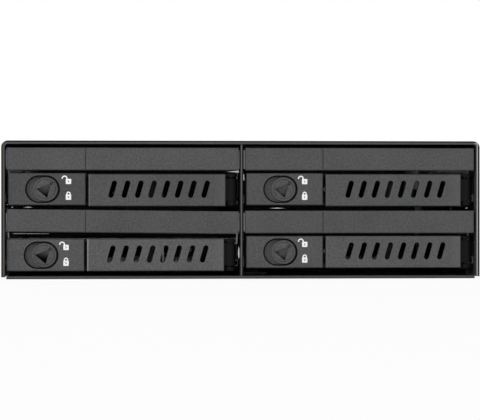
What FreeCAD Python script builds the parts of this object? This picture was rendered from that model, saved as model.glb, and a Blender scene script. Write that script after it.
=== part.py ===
import FreeCAD, Part
import math
import os
import re

import Sketcher

# Hot swap drive cage for one 5.25-inch half-height bay: a sheet metal cage with four pull-out trays for
# 2.5-inch drives, a backplane with its sockets and ports, and two rear fans.
#
# The frame has its origin under the middle of the cage, +Z up and the front facing -Y. Cage pieces are drawn
# from the front plane back (y) and from the underside up (z). Tray pieces are drawn from their tray's own
# front left bottom corner. All lengths are in millimetres.

doc = FreeCAD.newDocument("hot_swap_drive_cage")

SIZES = {
    # cage envelope and sheet metal
    "cage_width": 146.0,
    "cage_height": 42.0,
    "cage_depth": 145.0,
    "cover_sheet": 1.0,
    "cover_bend": 2.0,
    "cover_lift": 0.6,
    "pan_sheet": 0.8,
    "pan_play": 0.5,
    "pan_flange_height": 2.2,
    "divider_sheet": 0.8,
    "divider_set_back": 0.3,
    "divider_flange": 8.0,
    "divider_flange_tail": 8.8,
    "rear_sheet": 1.0,
    "rear_inset": 2.0,
    "rear_flange": 17.0,
    # where the two rows of trays sit
    "row_base": 3.2,
    "row_gap": 1.7,
    "top_gap": 1.1,
    "face_side_gap": 0.55,
    "sled_side_gap": 0.25,
    # ledges bent in from the sides and the divider, one under each sled edge
    "ledge_reach": 2.6,
    "ledge_length": 20.0,
    "first_ledge": 14.0,
    "ledge_back_gap": 4.6,
    "ledge_gap": 0.2,
    # window in the walls that the lever's claw reaches
    "claw_window_front": 5.2,
    "claw_window_length": 4.2,
    "claw_window_low": 1.1,
    "claw_window_height": 2.4,
    # screw holes that the cage is mounted by
    "mount_first": 47.4,
    "mount_pitch": 79.24,
    "mount_low": 10.0,
    "mount_rise": 11.84,
    "mount_radius": 1.25,
    "mount_clear": 1.5,
    "under_mount_span": 139.7,
    # flush rivets
    "rivet_radius": 1.3,
    "rivet_head_radius": 2.2,
    "rivet_head": 0.5,
    "rivet_first": 20.0,
    "rivet_pitch": 44.0,
    "side_rivet_low": 15.5,
    "side_rivet_drop": 9.0,
    "rear_rivet_gap": 0.9,
    # faces of a tray
    "strip_set_back": 0.55,
    "lever_set_back": 1.0,
    "panel_set_back": 1.2,
    "panel_inset": 0.35,
    "panel_width": 23.5,
    "panel_height": 9.75,
    "panel_wall": 1.0,
    "face_gap": 0.9,
    "lever_gap": 0.95,
    "hinge_space": 4.1,
    "edge_bevel": 0.25,
    "root_overlap": 0.1,
    # how the four fronts sit in their bays
    "seat_drop": 0.85,
    "seat_shift": 0.45,
    "strip_tilt": 0.6,
    "strip_raise": 0.15,
    "lever_sag": 0.3,
    # face strip
    "strip_thick": 1.8,
    "strip_shelf": 1.0,
    "strip_arm": 1.0,
    "strip_arm_play": 0.05,
    "strip_arm_length": 11.0,
    "strip_arm_clear": 0.3,
    "strip_seam": 0.3,
    # front block
    "block_back": 12.0,
    "block_wall": 0.6,
    "block_side_wall": 1.25,
    "block_web": 1.15,
    "block_web_front": 7.0,
    "block_rear_wall": 1.6,
    "block_window_low": 1.6,
    "block_window_height": 6.6,
    "block_window_margin": 3.8,
    "block_mid_rib": 5.0,
    "button_hole_left": 5.6,
    "button_hole_length": 10.55,
    "button_hole_height": 8.4,
    "rail_height": 0.55,
    "rail_thick": 0.8,
    "rail_root": 0.2,
    "block_boss": 4.4,
    "block_boss_depth": 1.6,
    # release slider and its key lock
    "slider_play": 0.1,
    "slider_thick": 1.5,
    "slider_left": 4.2,
    "slider_right": 21.9,
    "knob_centre": 11.8,
    "knob_radius": 3.6,
    "knob_set_back": 0.1,
    "core_radius": 3.05,
    "core_play": 0.05,
    "core_flange_radius": 3.35,
    "core_flange": 0.45,
    "core_flange_play": 0.02,
    "key_depth": 1.5,
    "key_left": 2.75,
    "key_right": 1.8,
    "key_high": 1.9,
    "key_low": 2.7,
    "key_low_in": 0.4,
    "key_dot_radius": 0.45,
    "tooth_height": 2.6,
    "tooth_length": 1.8,
    "spring_tab": 1.0,
    "spring_tab_height": 3.0,
    "spring_tab_depth": 3.0,
    "spring_back": 1.9,
    # lever
    "lever_plate": 1.2,
    "lever_return": 4.0,
    "lever_return_sheet": 1.0,
    "lever_return_inset": 0.4,
    "vent_first": 7.3,
    "vent_pitch": 4.04,
    "vent_count": 8,
    "vent_length": 5.45,
    "vent_width": 1.6,
    "vent_lean": 74.0,
    "vent_rise": 0.3,
    "catch_width": 1.0,
    "catch_depth": 4.2,
    "catch_height": 3.0,
    "catch_inset": 0.2,
    # lever hinge
    "hinge_in": 2.3,
    "hinge_back": 4.3,
    "knuckle_radius": 1.9,
    "knuckle_low": 1.55,
    "knuckle_high": 8.4,
    "spring_well_low": 6.2,
    "spring_well_radius": 1.6,
    "ear_radius": 1.95,
    "pin_radius": 0.75,
    "pin_play": 0.05,
    "pin_inset": 0.1,
    "arm_depth": 1.8,
    "arm_root": 0.2,
    "claw_height": 1.45,
    "claw_width": 1.4,
    "claw_length": 3.3,
    "claw_clear": 0.3,
    "claw_bevel": 0.5,
    # springs
    "coil_wire": 0.22,
    "coil_radius": 1.25,
    "coil_pitch": 0.5,
    "coil_length": 1.75,
    "coil_play": 0.05,
    "push_wire": 0.18,
    "push_radius": 0.9,
    "push_pitch": 1.5,
    "push_gap": 0.5,
    "push_play": 0.02,
    "leaf_sheet": 0.2,
    "leaf_low": 3.3,
    "leaf_height": 4.7,
    "leaf_front": 3.2,
    "leaf_clear": 0.15,
    "leaf_lead": 0.1,
    "leaf_bow": 0.7,
    "floor_leaf_left": 5.0,
    "floor_leaf_width": 7.0,
    "floor_leaf_start": 13.5,
    "floor_leaf_length": 17.0,
    "floor_leaf_bow": 0.85,
    # sled
    "sled_sheet": 0.5,
    "sled_floor": 0.8,
    "sled_floor_low": 0.35,
    "sled_end_gap": 4.6,
    "sled_nose": 3.0,
    "sled_nose_low": 11.2,
    "sled_top_gap": 0.7,
    "sled_flange": 0.8,
    "sled_flange_height": 9.0,
    "drive_hole_span": 61.72,
    "drive_hole_pitch": 76.6,
    "drive_hole_first": 23.0,
    "drive_hole_radius": 1.7,
    "floor_vent_first": 30.0,
    "floor_vent_length": 14.0,
    "floor_vent_pitch": 22.0,
    "floor_vent_count": 3,
    "floor_vent_margin": 10.5,
    # screws between sled and block
    "block_screw_radius": 1.0,
    "block_screw_head_radius": 2.6,
    "block_screw_head": 1.2,
    "block_screw_grip": 3.4,
    "block_screw_in": 2.05,
    "block_screw_edge": 3.2,
    "slot_width": 3.2,
    "slot_height": 4.4,
    # backplane
    "board_room": 13.4,
    "board_thick": 1.6,
    "board_width": 141.0,
    "board_low": 2.6,
    "board_top_gap": 1.6,
    "board_screw_radius": 1.25,
    "board_screw_head_radius": 2.6,
    "board_screw_head": 1.6,
    "board_hole_radius": 1.6,
    "board_tab_width": 8.0,
    "board_tab_height": 7.6,
    "board_tab_centre": 12.0,
    "board_tab_screw_height": 5.8,
    "board_screw_drop": 9.0,
    "board_ear_reach": 5.5,
    "board_ear_screw_in": 3.2,
    "board_window_rise": 2.55,
    "board_window_drop": 1.9,
    "board_window_reach": 27.0,
    # drive sockets, one behind each tray
    "socket_width": 37.0,
    "socket_height": 6.0,
    "socket_depth": 8.0,
    "socket_centre": 5.0,
    "socket_slot_height": 1.8,
    "socket_slot_depth": 5.0,
    "socket_data_slot": 9.6,
    "socket_power_slot": 21.4,
    "socket_slot_gap": 2.0,
    # ports on the back of the board
    "port_pitch": 8.6,
    "port_width": 5.6,
    "port_depth": 9.0,
    "data_port_height": 14.5,
    "power_port_height": 24.0,
    "port_slot_width": 2.0,
    "port_slot_wall": 1.6,
    "port_slot_depth": 6.5,
    "port_window_margin": 4.7,
    "port_window_edge": 4.0,
    "header_width": 7.5,
    "header_height": 4.0,
    "header_depth": 6.0,
    "header_centre": 37.0,
    "capacitor_radius": 2.0,
    "capacitor_length": 6.0,
    "capacitor_centre": 46.0,
    "small_part_rise": 6.5,
    # fans
    "fan_play": 0.1,
    "fan_side_gap": 0.2,
    "fan_depth": 10.0,
    "fan_rim": 1.1,
    "fan_hole_edge": 4.0,
    "fan_hole_radius": 1.6,
    "fan_hub_radius": 9.0,
    "fan_spider": 1.4,
    "fan_strut": 2.4,
    "fan_sleeve_radius": 2.3,
    "fan_shaft_radius": 1.0,
    "fan_shaft_play": 0.05,
    "fan_cup_gap": 0.5,
    "fan_cup_wall": 1.0,
    "fan_cup_play": 0.4,
    "fan_blade_count": 7,
    "fan_tip_gap": 1.0,
    "fan_blade_sweep": 3.0,
    "fan_blade_thick": 0.9,
    "fan_screw_radius": 1.5,
    "fan_screw_head_radius": 2.75,
    "fan_screw_head": 1.6,
    "fan_screw_length": 9.0,
    "grille_first": 5.5,
    "grille_edge": 0.8,
    "grille_bar": 1.5,
    "grille_spoke": 2.0,
}

# Lengths worked out from the driving ones, in the same words.
WORKED = {
    "half_width": "cage_width / 2",
    "front_y": "-cage_depth / 2",
    "wall_in": "half_width - cover_sheet",
    "roof": "cage_height - cover_sheet",
    "half_divider": "divider_sheet / 2",
    "bay_width": "wall_in - half_divider",
    "bay_centre": "half_divider + bay_width / 2",
    "tray_width": "bay_width - 2 * face_side_gap",
    "tray_height": "(roof - top_gap - row_base - row_gap) / 2",
    "row_pitch": "tray_height + row_gap",
    "strip_low": "panel_height + face_gap",
    "strip_height": "tray_height - strip_low",
    "ledge_top": "sled_floor_low - ledge_gap",
    "pan_edge": "wall_in - pan_play",
    "rear_front": "cage_depth - rear_inset - rear_sheet",
    "panel_right": "panel_inset + panel_width",
    "lever_left": "panel_right + lever_gap",
    "lever_right": "tray_width - hinge_space",
    "block_right": "tray_width - panel_inset",
    "panel_back": "panel_set_back + panel_wall",
    "button_mid": "panel_height / 2",
    "cavity_left": "panel_inset + block_side_wall",
    "cavity_right": "panel_right - block_side_wall",
    "slider_front": "panel_back + slider_play",
    "slider_back": "slider_front + slider_thick",
    "rail_front": "slider_back + slider_play",
    "knob_front": "panel_set_back + knob_set_back",
    "spring_middle": "slider_back + spring_back",
    "hinge_u": "tray_width - hinge_in",
    "lever_back": "lever_set_back + lever_plate",
    "block_screw_left": "panel_right + block_screw_in",
    "block_screw_right": "tray_width - block_screw_edge",
    "sled_width": "bay_width - 2 * sled_side_gap",
    "sled_left": "(tray_width - sled_width) / 2",
    "sled_right": "sled_left + sled_width",
    "sled_in_left": "sled_left + sled_sheet",
    "sled_in_right": "sled_right - sled_sheet",
    "sled_floor_top": "sled_floor_low + sled_floor",
    "sled_top": "tray_height - sled_top_gap",
    "rear_middle": "(pan_sheet + roof) / 2",
    "fan_size": "roof - pan_sheet - 2 * fan_play",
    "fan_centre": "wall_in - rear_sheet - fan_side_gap - fan_size / 2",
    "fan_front": "rear_front - fan_depth",
    "fan_bore": "fan_size / 2 - fan_rim",
    "fan_blade_reach": "fan_bore - fan_tip_gap",
    "fan_hole": "fan_size / 2 - fan_hole_edge",
    "grille_step": "(fan_bore - grille_edge - grille_first + grille_bar) / 3",
    "grille_slot": "grille_step - grille_bar",
    "port_window_half": "fan_centre - fan_hole - fan_hole_radius - port_window_margin",
    "rear_rivet": "fan_front - rivet_head_radius - rear_rivet_gap",
    "side_rivet_high": "cage_height - side_rivet_drop",
    "board_front": "fan_front - board_room",
    "board_back": "board_front + board_thick",
    "board_high": "roof - board_top_gap",
    "board_high_screw": "roof - board_screw_drop",
    "small_part_height": "rear_middle + small_part_rise",
    "socket_front": "board_front - socket_depth",
    "sled_back": "board_front - sled_end_gap",
    "ledge_pitch": "(board_front - ledge_back_gap - first_ledge - ledge_length) / 2",
}


def fill_sheet(name, cells):
    """A spreadsheet with one aliased cell in each row."""
    sheet = doc.addObject("Spreadsheet::Sheet", name)
    for row, (alias, content) in enumerate(cells.items(), start=1):
        sheet.set("A%d" % row, alias)
        sheet.set("B%d" % row, content)
        sheet.setAlias("B%d" % row, alias)
    return sheet


def words(text):
    """An expression in plain words, with each sheet value's own sheet put before its name."""

    def qualify(match):
        word = match.group(0)
        if word in SIZES:
            return "Sizes." + word
        if word in WORKED:
            return "Worked." + word
        return word

    return re.sub(r"[a-z][a-z_]*", qualify, str(text))


sizes = fill_sheet("Sizes", {alias: str(value) for alias, value in SIZES.items()})
worked = fill_sheet("Worked", {alias: "=" + words(text) for alias, text in WORKED.items()})
doc.recompute()


def number(text):
    """What an expression comes to now, as a plain number."""
    return float(sizes.evalExpression(words(text)))


def flat(a, b):
    """A point of a sketch."""
    return FreeCAD.Vector(number(a), number(b), 0)


def bind(sketch, rules):
    """Adds constraints together, then binds each one that has an expression to the sheets."""
    built = []
    for rule, text in rules:
        size = () if text is None else (number(text),)
        built.append(Sketcher.Constraint(*rule, *size))
    for index, (rule, text) in zip(sketch.addConstraint(built), rules):
        if text is not None:
            sketch.setExpression("Constraints[%d]" % index, words(text))


def pinned(line, end, a, b):
    """The two distances that tie one point of a sketch to its origin."""
    return [(("DistanceX", -1, 1, line, end), a), (("DistanceY", -1, 1, line, end), b)]


def polygon(*corners):
    """A closed outline of straight lines through the corners given."""

    def draw(sketch):
        count = len(corners)
        points = [flat(a, b) for a, b in corners]
        lines = [
            sketch.addGeometry(Part.LineSegment(points[i], points[(i + 1) % count]), False)
            for i in range(count)
        ]
        rules = [(("Coincident", lines[i], 2, lines[(i + 1) % count], 1), None) for i in range(count)]
        for line, corner in zip(lines, corners):
            rules += pinned(line, 1, *corner)
        bind(sketch, rules)

    return draw


def rect(left, low, right, high):
    """An upright rectangle between two corners."""
    return polygon((left, low), (right, low), (right, high), (left, high))


def box(centre_a, centre_b, width, height):
    """An upright rectangle about its centre."""
    a, b = "(%s)" % centre_a, "(%s)" % centre_b
    half_a, half_b = "(%s) / 2" % width, "(%s) / 2" % height
    return rect(a + " - " + half_a, b + " - " + half_b, a + " + " + half_a, b + " + " + half_b)


def circle(a, b, radius):
    """A circle about a centre."""

    def draw(sketch):
        ring = sketch.addGeometry(Part.Circle(flat(a, b), FreeCAD.Vector(0, 0, 1), number(radius)), False)
        bind(sketch, pinned(ring, 3, a, b) + [(("Radius", ring), radius)])

    return draw


def slot(a, b, length, width, lean):
    """A slot with round ends about its centre, its length leaning from the first axis by an angle."""
    reach = "((%s) - (%s)) / 2" % (length, width)
    ends = [
        ("%s %s %s * cos(%s)" % (a, sign, reach, lean), "%s %s %s * sin(%s)" % (b, sign, reach, lean))
        for sign in "+-"
    ]

    def draw(sketch):
        radius = number(width) / 2
        turn = math.radians(number(lean))
        quarter = math.pi / 2
        across = FreeCAD.Vector(-math.sin(turn), math.cos(turn), 0) * radius
        far, near = flat(*ends[0]), flat(*ends[1])
        up = FreeCAD.Vector(0, 0, 1)
        first = Part.ArcOfCircle(Part.Circle(far, up, radius), turn - quarter, turn + quarter)
        second = Part.ArcOfCircle(Part.Circle(near, up, radius), turn + quarter, turn + 3 * quarter)
        cap_a = sketch.addGeometry(first, False)
        side_a = sketch.addGeometry(Part.LineSegment(far + across, near + across), False)
        cap_b = sketch.addGeometry(second, False)
        side_b = sketch.addGeometry(Part.LineSegment(near - across, far - across), False)
        loop = ((cap_a, 2, side_a, 1), (side_a, 2, cap_b, 1), (cap_b, 2, side_b, 1), (side_b, 2, cap_a, 1))
        rules = [(("Tangent",) + joint, None) for joint in loop]
        rules += pinned(cap_a, 3, *ends[0]) + pinned(cap_b, 3, *ends[1])
        bind(sketch, rules + [(("Radius", cap_a), "(%s) / 2" % width)])

    return draw


# Two edges this close to a plane lie in it.
NEAR = 0.01

# Each sketch plane: which way a sketch's own normal runs along the body axis that it faces.
NORMAL = {"XY": 1, "XZ": -1, "YZ": 1}


class Piece:
    """A sub-part made as a PartDesign body, placed by sheet values."""

    def __init__(self, label, x="0", y="0", z="0"):
        self.body = doc.addObject("PartDesign::Body", label)
        self.body.Label = label
        self.count = 0
        for axis, text in (("x", x), ("y", y), ("z", z)):
            self.body.setExpression("Placement.Base." + axis, words(text))

    def name(self, kind):
        self.count += 1
        return "%s_%s_%d" % (self.body.Name, kind, self.count)

    def origin(self, role):
        return [item for item in self.body.Origin.OriginFeatures if item.Role == role][0]

    def sketch(self, plane, at, outlines):
        """A sketch parallel to an origin plane, at a distance along the body's own axis."""
        sketch = self.body.newObject("Sketcher::SketchObject", self.name("sketch"))
        sketch.AttachmentSupport = [(self.origin(plane + "_Plane"), "")]
        sketch.MapMode = "FlatFace"
        sketch.setExpression("AttachmentOffset.Base.z", words("%d * (%s)" % (NORMAL[plane], at)))
        for draw in outlines:
            draw(sketch)
        return sketch

    def feature(self, kind, plane, start, end, outlines):
        """Adds or cuts the outlines from start to end along the axis that the plane faces."""
        sketch = self.sketch(plane, start, outlines)
        feature = self.body.newObject("PartDesign::" + kind, self.name(kind.lower()))
        feature.Profile = sketch
        feature.setExpression("Length", words("(%s) - (%s)" % (end, start)))
        with_normal = NORMAL[plane] > 0
        feature.Reversed = (not with_normal) if kind == "Pad" else with_normal
        return feature

    def pad(self, plane, start, end, *outlines):
        return self.feature("Pad", plane, start, end, outlines)

    def pocket(self, plane, start, end, *outlines):
        return self.feature("Pocket", plane, start, end, outlines)

    def edges(self, along, test):
        """Names of the straight edges along an axis whose middle passes a test."""
        doc.recompute()
        found = []
        for index, edge in enumerate(self.body.Tip.Shape.Edges, start=1):
            run = edge.Vertexes[-1].Point - edge.Vertexes[0].Point
            straight = edge.Curve.TypeId == "Part::GeomLine"
            if straight and abs(run[along]) > run.Length - NEAR and test(edge.CenterOfMass):
                found.append("Edge%d" % index)
        return found

    def dress(self, kind, edges, size):
        """A fillet or a chamfer on the edges named."""
        base = self.body.Tip
        feature = self.body.newObject("PartDesign::" + kind, self.name(kind.lower()))
        feature.Base = (base, edges)
        feature.setExpression("Radius" if kind == "Fillet" else "Size", words(size))
        return feature

    def repeat(self, feature, step, count):
        """Copies a feature along the body's X or Y axis."""
        axis, length = step
        pattern = self.body.newObject("PartDesign::LinearPattern", self.name("pattern"))
        pattern.Originals = [feature]
        pattern.Direction = (self.origin(axis + "_Axis"), [""])
        pattern.setExpression("Length", words("(%s) * ((%s) - 1)" % (length, count)))
        pattern.setExpression("Occurrences", words(count))
        self.body.Tip = pattern
        return pattern


def round_bar(label, radius, length, x, y, z):
    """A plain upright pin."""
    bar = doc.addObject("Part::Cylinder", label)
    bar.Label = label
    bar.setExpression("Radius", words(radius))
    bar.setExpression("Height", words(length))
    for axis, text in (("x", x), ("y", y), ("z", z)):
        bar.setExpression("Placement.Base." + axis, words(text))
    return bar


def coil(label, wire, radius, pitch, length, place, turn):
    """A round-wire coil: a circle swept along a helix, stood up or laid along X."""
    line = doc.addObject("Part::Helix", label + "_line")
    line.setExpression("Radius", words(radius))
    line.setExpression("Pitch", words(pitch))
    line.setExpression("Height", words(length))
    section = doc.addObject("Part::Circle", label + "_section")
    section.setExpression("Radius", words(wire))
    section.Placement = FreeCAD.Placement(FreeCAD.Vector(), FreeCAD.Rotation(FreeCAD.Vector(1, 0, 0), 90))
    section.setExpression("Placement.Base.x", words(radius))
    spring = doc.addObject("Part::Sweep", label)
    spring.Label = label
    spring.Sections = [section]
    spring.Spine = (line, [])
    spring.Solid = True
    spring.Frenet = True
    spring.Placement = FreeCAD.Placement(FreeCAD.Vector(), turn)
    for axis, text in zip("xyz", place):
        spring.setExpression("Placement.Base." + axis, words(text))
    return spring


UPRIGHT = FreeCAD.Rotation()
ALONG_X = FreeCAD.Rotation(FreeCAD.Vector(0, 1, 0), 90)

# Ledge stations from front to back, and the height of each row of trays.
STATIONS = ["first_ledge + %d * ledge_pitch" % index for index in range(3)]
ROWS = ["row_base", "row_base + row_pitch"]
MOUNT_STEPS = ["mount_first", "mount_first + mount_pitch"]
MOUNT_HEIGHTS = ["mount_low", "mount_low + mount_rise"]
RIVET_STEPS = ["rivet_first + %d * rivet_pitch" % index for index in range(3)]
SIDE_RIVETS = ("side_rivet_low", "side_rivet_high")
SIDES = ("-", "")


def ledge_windows():
    """Openings that the ledges were bent out of, one above each."""
    return [
        rect(y, "%s + ledge_top" % row, "%s + ledge_length" % y, "%s + ledge_top + ledge_reach" % row)
        for row in ROWS
        for y in STATIONS
    ]


def claw_windows():
    """Openings that a lever's claw reaches, one beside each tray's hinge."""
    low = "%s + claw_window_low"
    high = "%s + claw_window_low + claw_window_height"
    back = "claw_window_front + claw_window_length"
    return [rect("claw_window_front", low % row, back, high % row) for row in ROWS]


# cover_shell: one sheet bent down at both sides, with the ledges bent in from the side walls.
def make_cover():
    cover = Piece("cover_shell", y="front_y")
    cover.pad("XZ", "0", "cage_depth", rect("-half_width", "cover_lift", "half_width", "cage_height"))
    roof_edges = cover.edges(1, lambda middle: middle.z > number("cage_height") - NEAR)
    cover.dress("Fillet", roof_edges, "cover_bend")
    cover.pocket("XZ", "0", "cage_depth", rect("-wall_in", "cover_lift", "wall_in", "roof"))
    inner_edges = cover.edges(
        1,
        lambda middle: abs(middle.z - number("roof")) < NEAR and abs(middle.x) < number("wall_in") + NEAR,
    )
    cover.dress("Fillet", inner_edges, "cover_bend - cover_sheet")
    ledges = [
        rect(y, "%s + ledge_top - cover_sheet" % row, "%s + ledge_length" % y, "%s + ledge_top" % row)
        for row in ROWS
        for y in STATIONS
    ]
    cover.pad("YZ", "-wall_in - cover_sheet / 2", "-wall_in + ledge_reach", *ledges)
    cover.pad("YZ", "wall_in - ledge_reach", "wall_in + cover_sheet / 2", *ledges)
    ear_low = "board_high_screw - board_tab_width / 2"
    ear_high = "board_high_screw + board_tab_width / 2"
    ear_front = "board_front - cover_sheet"
    for start, end in (
        ("-wall_in - cover_sheet / 2", "-wall_in + board_ear_reach"),
        ("wall_in - board_ear_reach", "wall_in + cover_sheet / 2"),
    ):
        cover.pad("YZ", start, end, rect(ear_front, ear_low, "board_front", ear_high))
    ear_windows = [rect("board_front - cover_sheet - board_ear_reach", ear_low, ear_front, ear_high)]
    cover.pocket(
        "YZ", "-half_width", "half_width", *(ledge_windows() + claw_windows() + ear_windows)
    )
    mounts = [circle(y, z, "mount_radius") for y in MOUNT_STEPS for z in MOUNT_HEIGHTS]
    side_rivets = [circle("rear_rivet", z, "rivet_radius") for z in SIDE_RIVETS]
    cover.pocket("YZ", "-half_width", "half_width", *(mounts + side_rivets))
    ear_screws = [
        circle("%s(wall_in - board_ear_screw_in)" % side, "board_high_screw", "board_screw_radius")
        for side in SIDES
    ]
    cover.pocket("XZ", ear_front, "board_front", *ear_screws)
    top_rivets = [circle("half_divider + divider_flange / 2", y, "rivet_radius") for y in RIVET_STEPS]
    cover.pocket("XY", "roof", "cage_height", *top_rivets)


# bottom_pan: flat sheet between the cover's sides, with low side flanges and two tabs for the board.
def make_pan():
    pan = Piece("bottom_pan", y="front_y")
    pan.pad("XY", "0", "pan_sheet", rect("-pan_edge", "0", "pan_edge", "cage_depth"))
    for side in SIDES:
        edge_in = "%s(wall_in - pan_sheet)" % side
        edge_out = "%swall_in" % side
        flange = rect(edge_in, "first_ledge", edge_out, "board_front")
        pan.pad("XY", "0", "pan_flange_height", flange)
    tab_front = "board_front - pan_sheet"
    centres = ["%sboard_tab_centre" % side for side in SIDES]
    tabs = [box(x, "board_front - pan_sheet / 2", "board_tab_width", "pan_sheet") for x in centres]
    pan.pad("XY", "0", "pan_sheet + board_tab_height", *tabs)
    windows = [
        box(x, "board_front - pan_sheet - board_tab_height / 2", "board_tab_width", "board_tab_height")
        for x in centres
    ]
    pan.pocket("XY", "0", "pan_sheet", *windows)
    screws = [circle(x, "board_tab_screw_height", "board_screw_radius") for x in centres]
    pan.pocket("XZ", tab_front, "board_front", *screws)
    mounts = [
        circle("%sunder_mount_span / 2" % side, y, "mount_radius") for side in SIDES for y in MOUNT_STEPS
    ]
    rivets = [circle("half_divider + divider_flange / 2", y, "rivet_radius") for y in RIVET_STEPS]
    pan.pocket("XY", "0", "pan_sheet", *(mounts + rivets))


# centre_divider: upright sheet with flanges riveted to the cover and the pan, and ledges to both sides.
def make_divider():
    divider = Piece("centre_divider", y="front_y")
    divider.pad(
        "YZ", "-half_divider", "half_divider", rect("divider_set_back", "pan_sheet", "board_front", "roof")
    )
    flange_end = "rivet_first + 2 * rivet_pitch + divider_flange_tail"
    flanges = rect("-half_divider", "first_ledge", "half_divider + divider_flange", flange_end)
    divider.pad("XY", "pan_sheet", "pan_sheet + divider_sheet", flanges)
    divider.pad("XY", "roof - divider_sheet", "roof", flanges)
    divider.pad(
        "XZ",
        "board_front - divider_sheet",
        "board_front",
        rect(
            "-half_divider",
            "board_high_screw - board_tab_width / 2",
            "half_divider + divider_flange",
            "board_high_screw + board_tab_width / 2",
        ),
    )
    for side, shift in (("-", "0"), ("", "ledge_length / 2")):
        ledges = [
            rect(
                "%s + %s" % (y, shift),
                "%s + ledge_top - divider_sheet" % row,
                "%s + %s + ledge_length / 2" % (y, shift),
                "%s + ledge_top" % row,
            )
            for row in ROWS
            for y in STATIONS
        ]
        if side:
            divider.pad("YZ", "-half_divider - ledge_reach", "0", *ledges)
        else:
            divider.pad("YZ", "0", "half_divider + ledge_reach", *ledges)
    divider.pocket("YZ", "-half_divider", "half_divider", *(ledge_windows() + claw_windows()))
    rivets = [circle("half_divider + divider_flange / 2", y, "rivet_radius") for y in RIVET_STEPS]
    divider.pocket("XY", "pan_sheet", "pan_sheet + divider_sheet", *rivets)
    divider.pocket("XY", "roof - divider_sheet", "roof", *rivets)
    divider.pocket(
        "XZ",
        "board_front - divider_sheet",
        "board_front",
        circle("half_divider + divider_flange / 2", "board_high_screw", "board_screw_radius"),
    )


# rear_panel: recessed plate with a ring grille behind each fan and a window over the ports.
def make_rear_panel():
    panel = Piece("rear_panel", y="front_y")
    back = "rear_front + rear_sheet"
    panel.pad("XZ", "rear_front", back, rect("-wall_in", "pan_sheet", "wall_in", "roof"))
    corners = panel.edges(1, lambda middle: middle.z > number("roof") - NEAR)
    panel.dress("Fillet", corners, "cover_bend - cover_sheet")
    for side in SIDES:
        flange = rect(
            "%s(wall_in - rear_sheet)" % side,
            "pan_flange_height + pan_play",
            "%swall_in" % side,
            "roof + cover_sheet - cover_bend",
        )
        panel.pad("XZ", "%s - rear_flange" % back, back, flange)
    window_top = "cage_height - port_window_edge"
    window = rect("-port_window_half", "port_window_edge", "port_window_half", window_top)
    panel.pocket("XZ", "rear_front", back, window)
    centres = ["%sfan_centre" % side for side in SIDES]
    for ring in range(3):
        inner = "grille_first + %d * grille_step" % ring
        rings = []
        for x in centres:
            rings.append(circle(x, "rear_middle", inner))
            rings.append(circle(x, "rear_middle", inner + " + grille_slot"))
        panel.pocket("XZ", "rear_front", back, *rings)
    reach = "2 * (grille_first + 3 * grille_step)"
    panel.pad("XZ", "rear_front", back, *[box(x, "rear_middle", reach, "grille_spoke") for x in centres])
    panel.pad("XZ", "rear_front", back, *[box(x, "rear_middle", "grille_spoke", reach) for x in centres])
    panel.pocket("XZ", "rear_front", back, *fan_corners("fan_hole_radius"))
    rivets = [circle("rear_rivet", z, "rivet_radius") for z in SIDE_RIVETS]
    clear = [circle(MOUNT_STEPS[1], z, "mount_radius + mount_clear") for z in MOUNT_HEIGHTS]
    panel.pocket("YZ", "-wall_in", "wall_in", *rivets)
    panel.pocket("YZ", "-wall_in", "wall_in", *clear)


def fan_corners(radius):
    """A circle at each corner hole of both fans, seen from the front."""
    return [
        circle(
            "%sfan_centre %s fan_hole" % (side, across),
            "rear_middle %s fan_hole" % up,
            radius,
        )
        for side in SIDES
        for across in "+-"
        for up in "+-"
    ]


# backplane_board, with a slot behind each face strip that lets the fans draw air past the drives.
def board_screw_points():
    ear = "wall_in - board_ear_screw_in"
    return [
        ("-board_tab_centre", "board_tab_screw_height"),
        ("board_tab_centre", "board_tab_screw_height"),
        ("half_divider + divider_flange / 2", "board_high_screw"),
        ("-(%s)" % ear, "board_high_screw"),
        (ear, "board_high_screw"),
    ]


def make_board():
    board = Piece("backplane_board", y="front_y")
    outline = rect("-board_width / 2", "board_low", "board_width / 2", "board_high")
    board.pad("XZ", "board_front", "board_back", outline)
    windows = [
        rect(
            "%s(bay_centre - socket_width / 4)" % side,
            "%s + strip_low + board_window_rise" % row,
            "%s(bay_centre + board_window_reach)" % side,
            "%s + tray_height - board_window_drop" % row,
        )
        for side in SIDES
        for row in ROWS
    ]
    board.pocket("XZ", "board_front", "board_back", *windows)
    holes = [circle(x, z, "board_hole_radius") for x, z in board_screw_points()]
    board.pocket("XZ", "board_front", "board_back", *holes)


def make_board_screws():
    screws = Piece("board_screws", y="front_y")
    points = board_screw_points()
    start = "board_front - pan_sheet"
    shanks = [circle(x, z, "board_screw_radius") for x, z in points]
    heads = [circle(x, z, "board_screw_head_radius") for x, z in points]
    screws.pad("XZ", start, "board_back", *shanks)
    screws.pad("XZ", "board_back", "board_back + board_screw_head", *heads)


def make_sockets():
    sockets = Piece("drive_sockets", y="front_y")
    places = [("%sbay_centre" % side, "%s + socket_centre" % row) for side in SIDES for row in ROWS]
    bodies = [box(x, z, "socket_width", "socket_height") for x, z in places]
    sockets.pad("XZ", "socket_front", "board_front", *bodies)
    slots = []
    for x, z in places:
        data = "%s - (socket_power_slot + socket_slot_gap) / 2" % x
        power = "%s + (socket_data_slot + socket_slot_gap) / 2" % x
        slots.append(box(data, z, "socket_data_slot", "socket_slot_height"))
        slots.append(box(power, z, "socket_power_slot", "socket_slot_height"))
    sockets.pocket("XZ", "socket_front", "socket_front + socket_slot_depth", *slots)


def make_ports(label, steps, height):
    """Upright ports on the back of the board, each a box with a slot in its mouth."""
    ports = Piece(label, y="front_y")
    mouth = "board_back + port_depth"
    places = ["%s * port_pitch" % step for step in steps]
    ports.pad("XZ", "board_back", mouth, *[box(x, "rear_middle", "port_width", height) for x in places])
    slots = [box(x, "rear_middle", "port_slot_width", height + " - 2 * port_slot_wall") for x in places]
    ports.pocket("XZ", mouth + " - port_slot_depth", mouth, *slots)


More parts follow.
